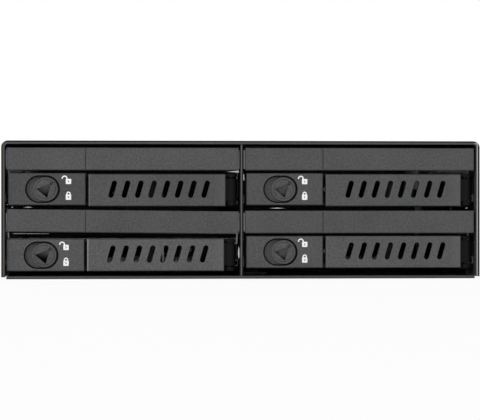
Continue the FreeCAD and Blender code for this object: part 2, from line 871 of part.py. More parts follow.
def make_board_parts():
    parts = Piece("board_parts", y="front_y")
    headers = [
        box("%sheader_centre" % side, "small_part_height", "header_width", "header_height") for side in SIDES
    ]
    parts.pad("XZ", "board_back", "board_back + header_depth", *headers)
    cans = [circle("%scapacitor_centre" % side, "small_part_height", "capacitor_radius") for side in SIDES]
    parts.pad("XZ", "board_back", "board_back + capacitor_length", *cans)


# shell_rivets: flush outside, with a flat head formed inside.
def make_rivets():
    rivets = Piece("shell_rivets", y="front_y")
    x = "half_divider + divider_flange / 2"
    shanks = [circle(x, y, "rivet_radius") for y in RIVET_STEPS]
    heads = [circle(x, y, "rivet_head_radius") for y in RIVET_STEPS]
    top_inner = "roof - divider_sheet"
    rivets.pad("XY", top_inner, "cage_height", *shanks)
    rivets.pad("XY", top_inner + " - rivet_head", top_inner, *heads)
    low_inner = "pan_sheet + divider_sheet"
    rivets.pad("XY", "0", low_inner, *shanks)
    rivets.pad("XY", low_inner, low_inner + " + rivet_head", *heads)
    shanks = [circle("rear_rivet", z, "rivet_radius") for z in SIDE_RIVETS]
    heads = [circle("rear_rivet", z, "rivet_head_radius") for z in SIDE_RIVETS]
    side_inner = "wall_in - rear_sheet"
    rivets.pad("YZ", side_inner, "half_width", *shanks)
    rivets.pad("YZ", side_inner + " - rivet_head", side_inner, *heads)
    rivets.pad("YZ", "-half_width", "-(%s)" % side_inner, *shanks)
    rivets.pad("YZ", "-(%s)" % side_inner, "-(%s) + rivet_head" % side_inner, *heads)


# Fans: a square housing with a sleeve on a four-armed spider, and a cup with blades and a shaft in the sleeve.
def make_fan(side_name, side):
    place = {"x": "%sfan_centre" % side, "y": "front_y + fan_front", "z": "rear_middle"}
    frame = Piece("fan_frame_" + side_name, **place)
    holes = [
        circle("%sfan_hole" % across, "%sfan_hole" % up, "fan_hole_radius")
        for across in SIDES
        for up in SIDES
    ]
    square = box("0", "0", "fan_size", "fan_size")
    frame.pad("XZ", "0", "fan_depth", square, circle("0", "0", "fan_bore"), *holes)
    spider = "fan_depth - fan_spider"
    frame.pad(
        "XZ",
        spider,
        "fan_depth",
        circle("0", "0", "fan_hub_radius"),
        circle("0", "0", "fan_sleeve_radius / 2"),
    )
    for outline in (
        rect("fan_sleeve_radius", "-fan_strut / 2", "fan_bore + fan_rim / 2", "fan_strut / 2"),
        rect("-fan_bore - fan_rim / 2", "-fan_strut / 2", "-fan_sleeve_radius", "fan_strut / 2"),
        rect("-fan_strut / 2", "fan_sleeve_radius", "fan_strut / 2", "fan_bore + fan_rim / 2"),
        rect("-fan_strut / 2", "-fan_bore - fan_rim / 2", "fan_strut / 2", "-fan_sleeve_radius"),
    ):
        frame.pad("XZ", spider, "fan_depth", outline)
    sleeve = circle("0", "0", "fan_sleeve_radius")
    sleeve_bore = circle("0", "0", "fan_shaft_radius + fan_shaft_play")
    frame.pad("XZ", "fan_cup_gap + fan_cup_wall + fan_cup_play", "fan_depth", sleeve, sleeve_bore)

    rotor = Piece("fan_rotor_" + side_name, **place)
    cup_back = spider + " - fan_cup_play"
    rotor.pad("XZ", "fan_cup_gap", cup_back, circle("0", "0", "fan_hub_radius"))
    hollow = [circle("0", "0", "fan_hub_radius - fan_cup_wall")]
    rotor.pocket("XZ", "fan_cup_gap + fan_cup_wall", cup_back, *hollow)
    shaft = circle("0", "0", "fan_shaft_radius")
    rotor.pad("XZ", "fan_cup_gap", "fan_depth - fan_cup_play", shaft)
    blade_front = "fan_cup_gap + fan_cup_wall / 2"
    blade_back = cup_back + " - fan_cup_wall / 2"
    outline = polygon(
        (blade_front, "-fan_blade_sweep - fan_blade_thick"),
        (blade_back, "fan_blade_sweep - fan_blade_thick"),
        (blade_back, "fan_blade_sweep"),
        (blade_front, "-fan_blade_sweep"),
    )
    blade = rotor.pad("YZ", "fan_hub_radius - fan_cup_wall", "fan_blade_reach", outline)
    blades = rotor.body.newObject("PartDesign::PolarPattern", rotor.name("blades"))
    blades.Originals = [blade]
    blades.Axis = (rotor.origin("Y_Axis"), [""])
    blades.Angle = 360
    blades.setExpression("Occurrences", words("fan_blade_count"))
    rotor.body.Tip = blades


def make_fan_screws():
    screws = Piece("fan_screws", y="front_y")
    back = "rear_front + rear_sheet"
    screws.pad("XZ", back + " - fan_screw_length", back, *fan_corners("fan_screw_radius"))
    screws.pad("XZ", back, back + " + fan_screw_head", *fan_corners("fan_screw_head_radius"))


class Tray:
    """Where one of the four trays sits, and how far its front is off its true place."""

    def __init__(self, name, side, row, shift="0", drop="0", sag="0", tilt="0", lift="0"):
        self.name = name
        self.x = "%sbay_centre - tray_width / 2" % side
        self.z = ROWS[row]
        self.shift = shift
        self.drop = drop
        self.front_x = "%s - (%s)" % (self.x, shift)
        self.front_z = "%s - (%s)" % (self.z, drop)
        self.lever_z = "%s - (%s)" % (self.front_z, sag)
        self.tilt = tilt
        self.lift = lift

    def piece(self, kind, x, z):
        return Piece("%s_%s" % (kind, self.name), x=x, y="front_y", z=z)


# sled: thin channel under and beside the drive, with a front flange that the block is screwed to.
def make_sled(tray):
    sled = tray.piece("sled", tray.x, tray.z)
    floor = rect("sled_left", "block_back", "sled_right", "sled_back")
    sled.pad("XY", "sled_floor_low", "sled_floor_top", floor)
    wall = polygon(
        ("block_back", "sled_floor_low"),
        ("sled_back", "sled_floor_low"),
        ("sled_back", "sled_top"),
        ("sled_nose", "sled_top"),
        ("sled_nose", "sled_nose_low"),
        ("block_back", "sled_nose_low"),
    )
    sled.pad("YZ", "sled_left", "sled_in_left", wall)
    sled.pad("YZ", "sled_in_right", "sled_right", wall)
    flange_back = "block_back + sled_flange"
    flange = rect("sled_left", "sled_floor_low", "sled_right", "sled_flange_height")
    sled.pad("XZ", "block_back", flange_back, flange)
    slots = [
        slot(x, "button_mid", "slot_height", "slot_width", "90")
        for x in ("block_screw_left", "block_screw_right")
    ]
    sled.pocket("XZ", "block_back", flange_back, *(block_windows() + slots))
    holes = [
        circle(
            "tray_width / 2 %s drive_hole_span / 2" % sign,
            "drive_hole_first + %d * drive_hole_pitch" % step,
            "drive_hole_radius",
        )
        for sign in "+-"
        for step in range(2)
    ]
    sled.pocket("XY", "sled_floor_low", "sled_floor_top", *holes)
    vent = rect(
        "floor_vent_margin",
        "floor_vent_first",
        "tray_width - floor_vent_margin",
        "floor_vent_first + floor_vent_length",
    )
    cut = sled.pocket("XY", "sled_floor_low", "sled_floor_top", vent)
    sled.repeat(cut, ("Y", "floor_vent_pitch"), "floor_vent_count")


def block_windows():
    """Two air windows behind the lever, either side of a rib."""
    left = "block_screw_left + block_window_margin / 2"
    right = "tray_width - 2 * block_window_margin"
    middle = "(%s + %s) / 2" % (left, right)
    low, high = "block_window_low", "block_window_low + block_window_height"
    return [
        rect(left, low, middle + " - block_mid_rib / 2", high),
        rect(middle + " + block_mid_rib / 2", low, right, high),
    ]


# front_block: the button's housing on the left, an open frame behind the lever, and the hinge ears.
def make_block(tray):
    block = tray.piece("front_block", tray.front_x, tray.front_z)
    face = rect("panel_inset", "0", "panel_right", "panel_height")
    block.pad("XZ", "panel_set_back", "block_back", face)
    rim = block.edges(0, lambda middle: middle.y < number("panel_set_back") + NEAR)
    rim += block.edges(2, lambda middle: middle.y < number("panel_set_back") + NEAR)
    block.dress("Chamfer", rim, "edge_bevel")
    rear_wall = rect("panel_inset", "0", "block_right", "panel_height")
    block.pad("XZ", "block_back - block_rear_wall", "block_back", rear_wall)
    for low, high in (("0", "block_web"), ("panel_height - block_web", "panel_height")):
        web = rect("panel_inset", "block_web_front", "block_right", "block_back")
        root = rect("hinge_u - ear_radius", "hinge_back", "block_right", "block_back")
        block.pad("XY", low, high, web)
        block.pad("XY", low, high, root)
        block.pad("XY", low, high, circle("hinge_u", "hinge_back", "ear_radius"))
    boss = box("block_screw_right", "button_mid", "block_boss", "block_boss")
    block.pad("XZ", "block_back - block_rear_wall - block_boss_depth", "block_back", boss)
    cavity = rect("cavity_left", "block_wall", "cavity_right", "panel_height - block_wall")
    block.pocket("XZ", "panel_back", "block_back", cavity)
    for low, high in (
        ("block_wall / 2", "block_wall + rail_height"),
        ("panel_height - block_wall - rail_height", "panel_height - block_wall / 2"),
    ):
        rail = rect("cavity_left - rail_root", low, "cavity_right + rail_root", high)
        block.pad("XZ", "rail_front", "rail_front + rail_thick", rail)
    hole = slot(
        "button_hole_left + button_hole_length / 2",
        "button_mid",
        "button_hole_length",
        "button_hole_height",
        "0",
    )
    block.pocket("XZ", "panel_set_back", "panel_back", hole)
    way = rect(
        "panel_back",
        "button_mid - tooth_height / 2 - 2 * slider_play",
        "rail_front + rail_thick",
        "button_mid + tooth_height / 2 + 2 * slider_play",
    )
    block.pocket("YZ", "cavity_right - root_overlap", "panel_right", way)
    block.pocket("XZ", "block_back - block_rear_wall", "block_back", *block_windows())
    places = ("block_screw_left", "block_screw_right")
    screws = [circle(x, "button_mid", "block_screw_radius") for x in places]
    block.pocket("XZ", "block_back - block_rear_wall - block_boss_depth", "block_back", *screws)
    block.pocket("XY", "0", "panel_height", circle("hinge_u", "hinge_back", "pin_radius"))


def make_block_screws(tray):
    screws = tray.piece("block_screws", tray.front_x, tray.front_z)
    places = ("block_screw_left", "block_screw_right")
    head = "block_back + sled_flange"
    shanks = [circle(x, "button_mid", "block_screw_radius") for x in places]
    heads = [circle(x, "button_mid", "block_screw_head_radius") for x in places]
    screws.pad("XZ", head + " - block_screw_grip", head, *shanks)
    screws.pad("XZ", head, head + " + block_screw_head", *heads)


# face_strip: a long bar with a shelf behind it and an arm inside each sled wall, drawn about its own centre.
def make_strip(tray):
    strip = tray.piece("face_strip", tray.x + " + tray_width / 2", tray.z)
    strip.body.setExpression(
        "Placement.Base.z", words("%s + strip_low + strip_height / 2 + (%s)" % (tray.z, tray.lift))
    )
    strip.body.Placement.Rotation = FreeCAD.Rotation(FreeCAD.Vector(0, 1, 0), number(tray.tilt))
    if tray.tilt != "0":
        strip.body.setExpression("Placement.Rotation.Angle", words(tray.tilt))
    half, top = "tray_width / 2", "strip_height / 2"
    front, back = "strip_set_back", "strip_set_back + strip_thick"
    strip.pad("XZ", front, back, rect("-" + half, "-" + top, half, top))
    rim = strip.edges(0, lambda middle: middle.y < number(front) + NEAR)
    rim += strip.edges(2, lambda middle: middle.y < number(front) + NEAR)
    strip.dress("Chamfer", rim, "edge_bevel")
    inside = "(sled_in_right - sled_in_left) / 2 - strip_arm_play"
    shelf = rect("-(%s)" % inside, top + " - strip_shelf", inside, top + " - edge_bevel")
    strip.pad("XZ", back, "block_back", shelf)
    arm_low = "sled_nose_low - strip_low - strip_height / 2 + strip_arm_clear"
    for start, end in (("-(%s)" % inside, "-(%s) + strip_arm" % inside), (inside + " - strip_arm", inside)):
        strip.pad("XZ", back, back + " + strip_arm_length", rect(start, arm_low, end, top + " - edge_bevel"))
    seam = box("panel_right - tray_width / 2", "0", "strip_seam", "strip_height")
    strip.pocket("XZ", front, front + " + strip_seam", seam)


# lever: a vented plate with returns, a catch at its free end, a claw, and a knuckle that holds its spring.
def make_lever(tray):
    lever = tray.piece("lever", tray.front_x, tray.lever_z)
    lever.pad("XZ", "lever_set_back", "lever_back", rect("lever_left", "0", "lever_right", "panel_height"))
    rim = lever.edges(0, lambda middle: middle.y < number("lever_set_back") + NEAR)
    rim += lever.edges(2, lambda middle: middle.y < number("lever_set_back") + NEAR)
    lever.dress("Chamfer", rim, "edge_bevel")
    return_right = "lever_right - arm_depth"
    for low in ("lever_return_inset", "panel_height - lever_return_inset - lever_return_sheet"):
        bar = rect("lever_left + catch_width", low, return_right, low + " + lever_return_sheet")
        lever.pad("XZ", "lever_back - root_overlap", "lever_back + lever_return", bar)
    catch = rect(
        "lever_left + catch_inset",
        "button_mid - catch_height / 2",
        "lever_left + catch_inset + catch_width",
        "button_mid + catch_height / 2",
    )
    lever.pad("XZ", "lever_back - root_overlap", "lever_back + catch_depth", catch)
    arm = polygon(
        ("lever_right - arm_depth - arm_root", "lever_back - root_overlap"),
        ("lever_right", "lever_back - root_overlap"),
        ("hinge_u", "hinge_back - knuckle_radius + root_overlap"),
        ("hinge_u", "hinge_back"),
        ("lever_right - arm_depth - arm_root", "lever_back + arm_depth"),
    )
    lever.pad("XY", "knuckle_low", "knuckle_high", arm)
    lever.pad("XY", "knuckle_low", "knuckle_high", circle("hinge_u", "hinge_back", "knuckle_radius"))
    claw_tip = "tray_width + face_side_gap - claw_clear"
    claw = polygon(
        ("hinge_u - claw_width / 2", "hinge_back"),
        ("hinge_u + claw_width / 2", "hinge_back"),
        ("hinge_u + claw_width / 2", "hinge_back + claw_length / 2"),
        (claw_tip, "hinge_back + claw_length / 2"),
        (claw_tip + " - claw_bevel", "hinge_back + claw_length"),
        ("hinge_u - claw_width / 2", "hinge_back + claw_length"),
    )
    lever.pad("XY", "knuckle_low", "knuckle_low + claw_height", claw)
    lever.pocket(
        "XY", "knuckle_low", "knuckle_high", circle("hinge_u", "hinge_back", "pin_radius + pin_play")
    )
    well = circle("hinge_u", "hinge_back", "spring_well_radius")
    lever.pocket("XY", "spring_well_low", "knuckle_high", well)
    vent = slot("lever_left + vent_first", "button_mid + vent_rise", "vent_length", "vent_width", "vent_lean")
    cut = lever.pocket("XZ", "lever_set_back", "lever_back", vent)
    lever.repeat(cut, ("X", "vent_pitch"), "vent_count")


# release_slider: a plate that slides behind the button's face, with a ring round the lock and a latch tooth.
def make_slider(tray):
    slider = tray.piece("release_slider", tray.front_x, tray.front_z)
    low = "block_wall + slider_play"
    high = "panel_height - block_wall - slider_play"
    slider.pad("XZ", "slider_front", "slider_back", rect("slider_left", low, "slider_right", high))
    slider.pad("XZ", "knob_front", "slider_back", circle("knob_centre", "button_mid", "knob_radius"))
    tooth = rect(
        "slider_right - root_overlap",
        "button_mid - tooth_height / 2",
        "slider_right + tooth_length",
        "button_mid + tooth_height / 2",
    )
    slider.pad("XZ", "slider_front + slider_play", "slider_back", tooth)
    tab = box("slider_right - spring_tab / 2", "button_mid", "spring_tab", "spring_tab_height")
    slider.pad("XZ", "slider_back - root_overlap", "slider_back + spring_tab_depth", tab)
    bore = circle("knob_centre", "button_mid", "core_radius + core_play")
    slider.pocket("XZ", "knob_front", "slider_back", bore)


# lock_core: a round core with a three-cornered key socket, held behind the slider by a flange.
def make_lock(tray):
    core = Piece(
        "lock_core_" + tray.name,
        x=tray.front_x + " + knob_centre",
        y="front_y",
        z=tray.front_z + " + button_mid",
    )
    flange_front = "slider_back + core_flange_play"
    core.pad("XZ", "knob_front", flange_front, circle("0", "0", "core_radius"))
    core.pad("XZ", flange_front, flange_front + " + core_flange", circle("0", "0", "core_flange_radius"))
    key = polygon(("-key_left", "0"), ("key_low_in", "-key_low"), ("key_right", "key_high"))
    core.pocket("XZ", "knob_front", "knob_front + key_depth", key)
    dot = circle("key_right", "key_high", "key_dot_radius")
    core.pocket("XZ", "knob_front", "knob_front + key_depth", dot)


# leaf_springs: bowed strips on both sides of the block and under the sled.
def make_leaves(tray):
    leaves = tray.piece("leaf_springs", tray.front_x, tray.front_z)
    base = "block_back - block_rear_wall"
    for side in SIDES:
        seat = "panel_inset" if side else "block_right"
        out = "%s - (%s)" if side else "%s + (%s)"
        room = "panel_inset + face_side_gap - leaf_clear - leaf_sheet"
        room += " - (%s)" % tray.shift if side else " + (%s)" % tray.shift
        middle = "(leaf_front + (%s)) / 2" % base
        quarter = "(leaf_front + 3 * (%s)) / 4" % base
        early = "(3 * leaf_front + (%s)) / 4" % base
        outer = [("0", base), ("leaf_bow * (%s)" % room, quarter), (room, middle)]
        outer += [("leaf_bow * (%s)" % room, early), ("leaf_lead", "leaf_front")]
        inner = [("leaf_sheet + " + depth, y) for depth, y in reversed(outer)]
        points = [("0", "block_back")] + outer + inner + [("leaf_sheet", "block_back")]
        strip = polygon(*[(out % (seat, depth), y) for depth, y in points])
        leaves.pad("XY", "leaf_low", "leaf_low + leaf_height", strip)
    under = "sled_floor_low + (%s)" % tray.drop
    end = "floor_leaf_start + floor_leaf_length"
    first_bend = "floor_leaf_start + floor_leaf_length / 4"
    middle = "floor_leaf_start + floor_leaf_length * 5 / 8"
    bow = polygon(
        ("floor_leaf_start", under),
        ("floor_leaf_start", under + " - leaf_sheet"),
        (first_bend, under + " - leaf_sheet"),
        (middle, under + " - floor_leaf_bow"),
        (end, under + " - leaf_sheet"),
        (end, under),
        (middle, under + " - floor_leaf_bow + leaf_sheet"),
        (first_bend, under),
    )
    leaf_x = "floor_leaf_left + (%s)" % tray.shift
    leaves.pad("YZ", leaf_x, leaf_x + " + floor_leaf_width", bow)


def make_springs(tray):
    coil(
        "lever_spring_" + tray.name,
        "coil_wire",
        "coil_radius",
        "coil_pitch",
        "coil_length",
        (
            tray.front_x + " + hinge_u",
            "front_y + hinge_back",
            tray.front_z + " + spring_well_low + coil_wire + coil_play",
        ),
        UPRIGHT,
    )
    coil(
        "release_spring_" + tray.name,
        "push_wire",
        "push_radius",
        "push_pitch",
        "slider_right - spring_tab - cavity_left - 2 * push_wire - push_gap",
        (
            tray.front_x + " + cavity_left + push_wire + push_play",
            "front_y + spring_middle",
            tray.front_z + " + button_mid",
        ),
        ALONG_X,
    )


TRAYS = (
    Tray("upper_left", "-", 1, sag="lever_sag"),
    Tray("upper_right", "", 1, sag="lever_sag"),
    Tray(
        "lower_left", "-", 0, shift="seat_shift", drop="seat_drop", tilt="strip_tilt", lift="strip_raise"
    ),
    Tray("lower_right", "", 0),
)

make_cover()
make_pan()
make_divider()
make_rear_panel()
make_board()
make_board_screws()
make_sockets()
make_ports("data_ports", ("-1.5", "-0.5", "0.5", "1.5"), "data_port_height")
make_ports("power_ports", ("-2.5", "2.5"), "power_port_height")
make_board_parts()
make_rivets()
make_fan("left", "-")
make_fan("right", "")
make_fan_screws()
for tray in TRAYS:
    make_sled(tray)
    make_block(tray)
    make_block_screws(tray)
    make_strip(tray)
    make_lever(tray)
    make_slider(tray)
    make_lock(tray)
    make_leaves(tray)
    make_springs(tray)
    round_bar(
        "hinge_pin_" + tray.name,
        "pin_radius",
        "panel_height - 2 * pin_inset",
        tray.front_x + " + hinge_u",
        "front_y + hinge_back",
        tray.front_z + " + pin_inset",
    )

doc.recompute()

# Every object has to be sound, every added or cut feature has to have changed its body, and every sub-part has
# to be a valid solid or group of solids before anything is written.
for item in doc.Objects:
    if "Invalid" in item.State or "Error" in item.State:
        raise RuntimeError("%s failed: %s" % (item.Label, item.State))
for item in doc.Objects:
    base = getattr(item, "BaseFeature", None)
    if item.TypeId in ("PartDesign::Pad", "PartDesign::Pocket") and base is not None:
        change = item.Shape.Volume - base.Shape.Volume
        grown = item.TypeId == "PartDesign::Pad"
        if (change <= 0) if grown else (change >= 0):
            raise RuntimeError("%s changed nothing: %.4f" % (item.Name, change))

KINDS = ("PartDesign::Body", "Part::Cylinder", "Part::Sweep")
subparts = [item for item in doc.Objects if item.TypeId in KINDS]
for item in subparts:
    if item.Shape.isNull() or not item.Shape.isValid() or not item.Shape.Solids:
        raise RuntimeError("%s is not a sound shape" % item.Label)

os.makedirs("parts", exist_ok=True)
for item in subparts:
    item.Shape.exportStep(os.path.join("parts", item.Label + ".step"))
print("%d sub-parts, %d solids" % (len(subparts), sum(len(item.Shape.Solids) for item in subparts)))
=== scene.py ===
import math

import bmesh
import bpy
from mathutils import Matrix, Vector


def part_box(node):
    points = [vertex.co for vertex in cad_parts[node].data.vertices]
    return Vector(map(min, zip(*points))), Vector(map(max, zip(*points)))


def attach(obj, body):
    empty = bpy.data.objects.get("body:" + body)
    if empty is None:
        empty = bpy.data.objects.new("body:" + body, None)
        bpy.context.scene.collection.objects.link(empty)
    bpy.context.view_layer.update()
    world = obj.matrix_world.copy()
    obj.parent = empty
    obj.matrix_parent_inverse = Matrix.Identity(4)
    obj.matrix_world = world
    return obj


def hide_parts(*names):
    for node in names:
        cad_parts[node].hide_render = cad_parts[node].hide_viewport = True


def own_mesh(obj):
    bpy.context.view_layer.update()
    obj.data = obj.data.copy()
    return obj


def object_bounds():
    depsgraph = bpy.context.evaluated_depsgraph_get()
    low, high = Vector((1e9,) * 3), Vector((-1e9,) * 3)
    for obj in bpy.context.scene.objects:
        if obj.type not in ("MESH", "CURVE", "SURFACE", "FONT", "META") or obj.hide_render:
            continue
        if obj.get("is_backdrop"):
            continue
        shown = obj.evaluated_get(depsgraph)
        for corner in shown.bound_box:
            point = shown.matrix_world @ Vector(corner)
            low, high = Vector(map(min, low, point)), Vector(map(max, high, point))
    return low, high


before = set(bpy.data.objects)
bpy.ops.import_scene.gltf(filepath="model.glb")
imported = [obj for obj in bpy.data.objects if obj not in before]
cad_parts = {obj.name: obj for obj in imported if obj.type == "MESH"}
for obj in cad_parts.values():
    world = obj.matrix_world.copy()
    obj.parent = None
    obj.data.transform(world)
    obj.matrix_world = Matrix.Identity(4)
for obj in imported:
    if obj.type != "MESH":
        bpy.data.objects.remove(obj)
cad_low, cad_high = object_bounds()


# Cover, pan, divider and rear panel: sheet steel, cut, punched and bent, powder coated dark grey all over
# and riveted together. The coat is a fine matte grain. Light and shade are painted on the cut front edges:
# a dark outer line of painted shade and a lighter inner line of painted highlight.
class Wire:
    """One socket of a graph. Arithmetic on it adds Math nodes."""

    def __init__(self, graph, socket):
        self.graph = graph
        self.socket = socket

    def maths(self, operation, *terms):
        return self.graph.node("ShaderNodeMath", {"operation": operation}, dict(enumerate(terms)))

    def __add__(self, other):
        return self.maths("ADD", self, other)

    def __sub__(self, other):
        return self.maths("SUBTRACT", self, other)

    def __rsub__(self, other):
        return self.maths("SUBTRACT", other, self)

    def __mul__(self, other):
        return self.maths("MULTIPLY", self, other)

    __radd__ = __add__
    __rmul__ = __mul__

    def __abs__(self):
        return self.maths("ABSOLUTE", self)

    def least(self, other):
        return self.maths("MINIMUM", self, other)

    def rise(self, low, high):
        """0 below low and 1 above high, with a soft step between."""
        values = {"Value": self, "From Min": low, "From Max": high}
        return self.graph.node("ShaderNodeMapRange", {"interpolation_type": "SMOOTHSTEP"}, values)

    def band(self, low, high, soft=0.00008):
        """1 between low and high, with soft ends."""
        return self.rise(low - soft, low + soft) * (1.0 - self.rise(high - soft, high + soft))


class Graph:
    """The nodes of one material, or of the room around the object."""

    def __init__(self, tree):
        self.tree = tree

    def node(self, kind, settings=None, values=None, output=0):
        """Adds a node, sets it up, fills or links its sockets, and gives one of its outputs."""
        made = self.tree.nodes.new(kind)
        for key, value in (settings or {}).items():
            setattr(made, key, value)
        for key, value in (values or {}).items():
            self.fill(made.inputs[key], value)
        return Wire(self, made.outputs[output])

    def fill(self, socket, value):
        if isinstance(value, Wire):
            self.tree.links.new(value.socket, socket)
        else:
            socket.default_value = value


class Finish(Graph):
    """A material for one kind of surface, drawn on Object coordinates in metres."""

    def __init__(self, name, colour, rough=0.5, metal=0.0):
        self.material = bpy.data.materials.new(name)
        self.material.use_nodes = True
        super().__init__(self.material.node_tree)
        self.shader = self.tree.nodes["Principled BSDF"]
        self.set(Base_Color=(*colour, 1.0), Roughness=rough, Metallic=metal)

    def set(self, **sockets):
        for name, value in sockets.items():
            self.fill(self.shader.inputs[name.replace("_", " ")], value)

    def mix(self, amount, first, second):
        """A colour between two, by an amount from 0 to 1."""
        ends = [tint if isinstance(tint, Wire) else (*tint, 1.0) for tint in (first, second)]
        return self.node("ShaderNodeMix", {"data_type": "RGBA"}, {0: amount, 6: ends[0], 7: ends[1]}, 2)

    def place(self, stretch=(1.0, 1.0, 1.0)):
        """Where a point is on the piece, stretched along its axes."""
        where = self.node("ShaderNodeTexCoord", output="Object")
        return self.node("ShaderNodeMapping", {}, {"Vector": where, "Scale": stretch})

    def along(self, axis):
        """How far along X, Y or Z a point is, in metres."""
        return self.node("ShaderNodeSeparateXYZ", {}, {0: self.place()}, axis)

    def noise(self, size, detail=2.0, stretch=(1.0, 1.0, 1.0)):
        """Cloudy values about 0.5, in lumps of a size in metres."""
        values = {"Vector": self.place(stretch), "Scale": 1 / size, "Detail": detail}
        return self.node("ShaderNodeTexNoise", {}, values)

    def edges(self, width):
        """1 on sharp edges, falling to 0 a width away from them."""
        soft = self.node("ShaderNodeBevel", {"samples": 6}, {"Radius": width})
        flat = self.node("ShaderNodeNewGeometry", output="Normal")
        facing = self.node("ShaderNodeVectorMath", {"operation": "DOT_PRODUCT"}, {0: soft, 1: flat}, "Value")
        return (1.0 - facing).rise(0.01, 0.2)

    def relief(self, height, depth, rounding=0.0):
        """Raises and sinks the surface by a height from 0 to 1 over a depth, with its edges rounded."""
        values = {"Height": height, "Distance": depth, "Strength": 1.0}
        if rounding:
            values["Normal"] = self.node("ShaderNodeBevel", {"samples": 6}, {"Radius": rounding})
        self.set(Normal=self.node("ShaderNodeBump", {}, values))

    def over(self, mask, tone):
        """Where the mask is 1, a plain matte surface takes the place of the finish."""
        second = self.node(
            "ShaderNodeBsdfPrincipled",
            {},
            {"Base Color": (*tone, 1.0), "Roughness": 0.9, "Specular IOR Level": 0.05},
        )
        first = Wire(self, self.shader.outputs["BSDF"])
        both = self.node("ShaderNodeMixShader", {}, {0: mask, 1: first, 2: second})
        self.fill(self.tree.nodes["Material Output"].inputs["Surface"], both)

    def dress(self, *nodes):
        """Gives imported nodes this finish."""
        for node in nodes:
            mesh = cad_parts[node].data
            mesh.materials.clear()
            mesh.materials.append(self.material)


def shade(tone, amount):
    """A tone made darker or lighter."""
    return tuple(part * amount for part in tone)


def powder_coat(name, tone, edge=2.0, rounding=0.00018, marks=()):
    """A fine matte coat, lighter on its edges, partly as wear and partly as a painted highlight, with marks:
    an amount from 0 to 1 and a tone for each.
    """
    coat = Finish(name, tone)
    fine = coat.noise(0.0006, 3.0)
    broad = coat.noise(0.012, 3.0)
    grains = (fine * 0.75 + broad * 0.25).rise(0.34, 0.66)
    skin = coat.mix(grains, shade(tone, 0.66), shade(tone, 1.34))
    # Edges painted lighter: partly wear, partly a painted highlight where rounded edges catch the light.
    skin = coat.mix(coat.edges(0.0003) * (0.35 + 0.5 * broad), skin, shade(tone, edge))
    for mark, mark_tone in marks:
        skin = coat.mix(mark(coat), skin, mark_tone)
    coat.set(Base_Color=skin, Roughness=0.5 + 0.16 * fine)
    coat.relief(coat.noise(0.00022, 2.0), 0.00003, rounding)
    return coat


FRONT = cad_low.y
SIDE = cad_high.x
TOP = cad_high.z
CUT_FACE = 0.0004  # how deep the marks on the front edges reach
EDGE_WIDTH = 0.0015
# The outer band is painted shade and the inner band a painted highlight.
OUTER_SHADE_BAND, INNER_HIGHLIGHT_BAND = (-0.001, 0.0004), (0.0006, 0.00084)  # in from the outside
CAGE_TONE = (0.04, 0.04, 0.0415)
# A near black matte tone, used as painted shade on the front edges.
PAINTED_EDGE_SHADE = (0.006, 0.006, 0.0062)


def on_front(coat):
    """1 on the front edges of the sheets, 0 behind them."""
    return 1.0 - coat.along("Y").rise(FRONT + CUT_FACE, FRONT + CUT_FACE + 0.0001)


def from_outside(coat):
    """How far a point of the cover is in from its sides and top."""
    return (SIDE - abs(coat.along("X"))).least(TOP - coat.along("Z"))


def painted_outer_shade(coat):
    """Where a dark line of painted shade runs along the cover's outer corner."""
    return on_front(coat) * from_outside(coat).band(*OUTER_SHADE_BAND)


def side_edge(coat):
    """The front edges of the cover's two sides."""
    return on_front(coat) * abs(coat.along("X")).rise(SIDE - EDGE_WIDTH - 0.0001, SIDE - EDGE_WIDTH + 0.0001)


def painted_inner_highlight(coat):
    """A painted highlight: the lighter line along the middle of those edges."""
    return side_edge(coat) * from_outside(coat).band(*INNER_HIGHLIGHT_BAND)


def painted_right_highlight(coat):
    """The part of that painted highlight on the right side, painted far lighter where it catches more light.
    """
    return painted_inner_highlight(coat) * coat.along("X").rise(0.0, 0.001)


cover_coat = powder_coat(
    "cover coat",
    CAGE_TONE,
    2.2,
    0.0003,
    [
        # Painted light and shade on the front edges: side edges darker as painted shade, the inner line
        # lighter as a painted highlight, far lighter on the right.
        (side_edge, shade(CAGE_TONE, 0.8)),
        (painted_inner_highlight, shade(CAGE_TONE, 1.2)),
        (painted_right_highlight, shade(CAGE_TONE, 9.5)),
    ],
)
# Painted shade: a dark matte line along the cover's outer corner.
cover_coat.over(painted_outer_shade(cover_coat), PAINTED_EDGE_SHADE)
cover_coat.dress("cover_shell")
powder_coat("cage coat", CAGE_TONE, 2.2, 0.0003).dress("rear_panel")

pan_coat = powder_coat("pan coat", shade(CAGE_TONE, 0.75), 2.2, 0.0003)
# Painted shade: a dark matte line along the lower corner of the pan's front edge.
pan_coat.over(on_front(pan_coat) * pan_coat.along("Z").band(-0.001, 0.0002), PAINTED_EDGE_SHADE)
pan_coat.dress("bottom_pan")


def divider_painted_highlight(coat):
    """A painted highlight: the lighter line down the middle of the divider's front edge."""
    return on_front(coat) * coat.along("X").band(-0.00024, -0.00004, 0.00005)


divider_coat = powder_coat(
    "divider coat", shade(CAGE_TONE, 0.9), 1.6, 0.0003, [(divider_painted_highlight, shade(CAGE_TONE, 2.0))]
)
# Painted shade: a dark matte band on the right of the divider's front edge.
divider_painted_shade = on_front(divider_coat) * divider_coat.along("X").band(0.00004, 0.0006)
divider_coat.over(divider_painted_shade, PAINTED_EDGE_SHADE)
divider_coat.dress("centre_divider")


# Rivets: flush steel rivets, set from inside before the cage is coated. The powder covers their heads with
# the rest, so that only a faint ring shows.
powder_coat("rivet coat", shade(CAGE_TONE, 1.15), 3.0).dress("shell_rivets")


